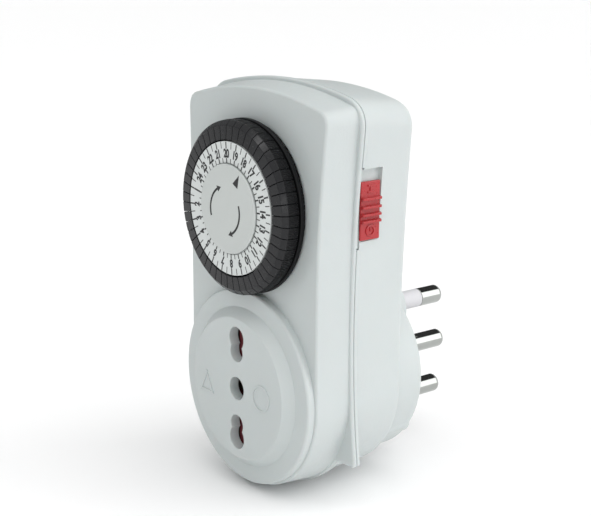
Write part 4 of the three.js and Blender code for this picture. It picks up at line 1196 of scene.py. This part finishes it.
def camera():
    """The camera looks from the front right and slightly from above."""
    yaw, pitch, roll = math.radians(50.93), math.radians(13.98), math.radians(0.30)
    turn = Matrix.Rotation(yaw, 4, "Z") @ Matrix.Rotation(math.pi / 2 - pitch, 4, "X")
    lens = bpy.data.cameras.new("camera")
    lens.lens = 79.56
    lens.sensor_width = 36
    lens.shift_y = 0.0099
    lens.clip_start = 0.01
    made = placed("camera", lens)
    stand = Matrix.Translation(Vector((248.2, -233.3, 108.7)) * MM)
    made.matrix_world = stand @ turn @ Matrix.Rotation(roll, 4, "Z")
    bpy.context.scene.camera = made


def lamp(name, kind, power, colour, turn):
    light = bpy.data.lights.new(name, kind)
    light.energy = power
    light.color = colour
    made = placed(name, light)
    made.rotation_mode = "QUATERNION"
    made.rotation_quaternion = turn
    return made


def softbox(name, place, target, size, power, colour=(1, 1, 1)):
    turn = (Vector(target) - Vector(place)).to_track_quat("-Z", "Y")
    made = lamp(name, "AREA", power, colour, turn)
    made.location = place
    made.data.shape = "RECTANGLE"
    made.data.size, made.data.size_y = size


def high_light(direction, spread, power, colour):
    """A far, wide and soft light that comes from a direction."""
    made = lamp("high_light", "SUN", power, colour, Vector(direction).to_track_quat("Z", "Y"))
    made.data.angle = math.radians(spread)


def wide_gradient(tree, place):
    """A pale room, lighter above and at the right and back than at the front."""
    bright_side = Vector((0.45, 0.35, 0.8)).normalized()
    toward = add(tree, "ShaderNodeVectorMath", place, bright_side, _operation="DOT_PRODUCT")
    share = calculated(tree, "MULTIPLY_ADD", toward.outputs["Value"], 0.5, 0.5)
    return ramped(tree, share, [(0.3, (0.2, 0.21, 0.212)), (0.8, (1.0, 1.0, 1.0))], "EASE")


def back_panels(tree, place):
    """Brightness of a strip behind the object: a dark screen at the left, a lit one at the right."""
    split = add(tree, "ShaderNodeSeparateXYZ", place)
    strip = calculated(tree, "COMPARE", split.outputs["Y"], 0.61, 0.13)
    side = ranged(tree, split.outputs["X"], 0.06, 2.6, 0.24, 0.34)
    panel = add(tree, "ShaderNodeMix", _data_type="FLOAT", Factor=strip, A=1.0, B=side)
    return panel.outputs["Result"]


def surroundings():
    world = bpy.data.worlds.new("studio")
    world.use_nodes = True
    tree = world.node_tree
    sky = tree.nodes["Background"]
    place = add(tree, "ShaderNodeTexCoord").outputs["Generated"]
    tree.links.new(wide_gradient(tree, place), sky.inputs["Color"])
    tree.links.new(back_panels(tree, place), sky.inputs["Strength"])
    bpy.context.scene.world = world


def studio():
    """Soft lights: one high and wide, one large at the right, and two at the front."""
    surroundings()
    high_light((0.35, 0.1, 0.93), 60, 0.74, (1, 0.995, 0.99))
    softbox("right_light", (0.9, 0.25, 0.35), (0, -0.03, 0.02), (0.5, 0.7), 1.02, (1, 0.93, 0.985))
    softbox("upper_light", (-0.22, -0.75, 0.8), (0, -0.05, 0.04), (0.25, 0.25), 1.0)
    softbox("low_light", (0.55, -0.95, 0.14), (0, -0.05, 0.04), (0.22, 0.22), 0.45)


def floor():
    bm = bmesh.new()
    bmesh.ops.create_grid(bm, x_segments=8, y_segments=8, size=8000)
    for v in bm.verts:
        v.co.z = cad_box[0].z / MM - 0.3
    made = finished(bm, "floor")
    made.data.materials.append(shaded("floor_paint", (0.95, 0.95, 0.95), 0.8, 0.003, 0.05))


camera()
studio()
floor()
front_shell()
rear_shell()
pin("earth_pin", 0, EARTH_LENGTH, PIN_RADIUS)
pin("live_pin", PIN_PITCH, PIN_LENGTH, CORE_RADIUS, SLEEVE_LENGTH)
pin("neutral_pin", -PIN_PITCH, PIN_LENGTH, CORE_RADIUS, SLEEVE_LENGTH)
sleeve("live_pin_sleeve", PIN_PITCH)
sleeve("neutral_pin_sleeve", -PIN_PITCH)
for screw_node, screw_place in SCREWS.items():
    screw(screw_node, *screw_place)
carrier()
tappets()
number_ring()
centre_disc()
tick_marks()
numerals()
disc_print()
slider()
shutter()
shutter_spring()
finish_carried_over()

bpy.context.scene.view_settings.view_transform = "Standard"
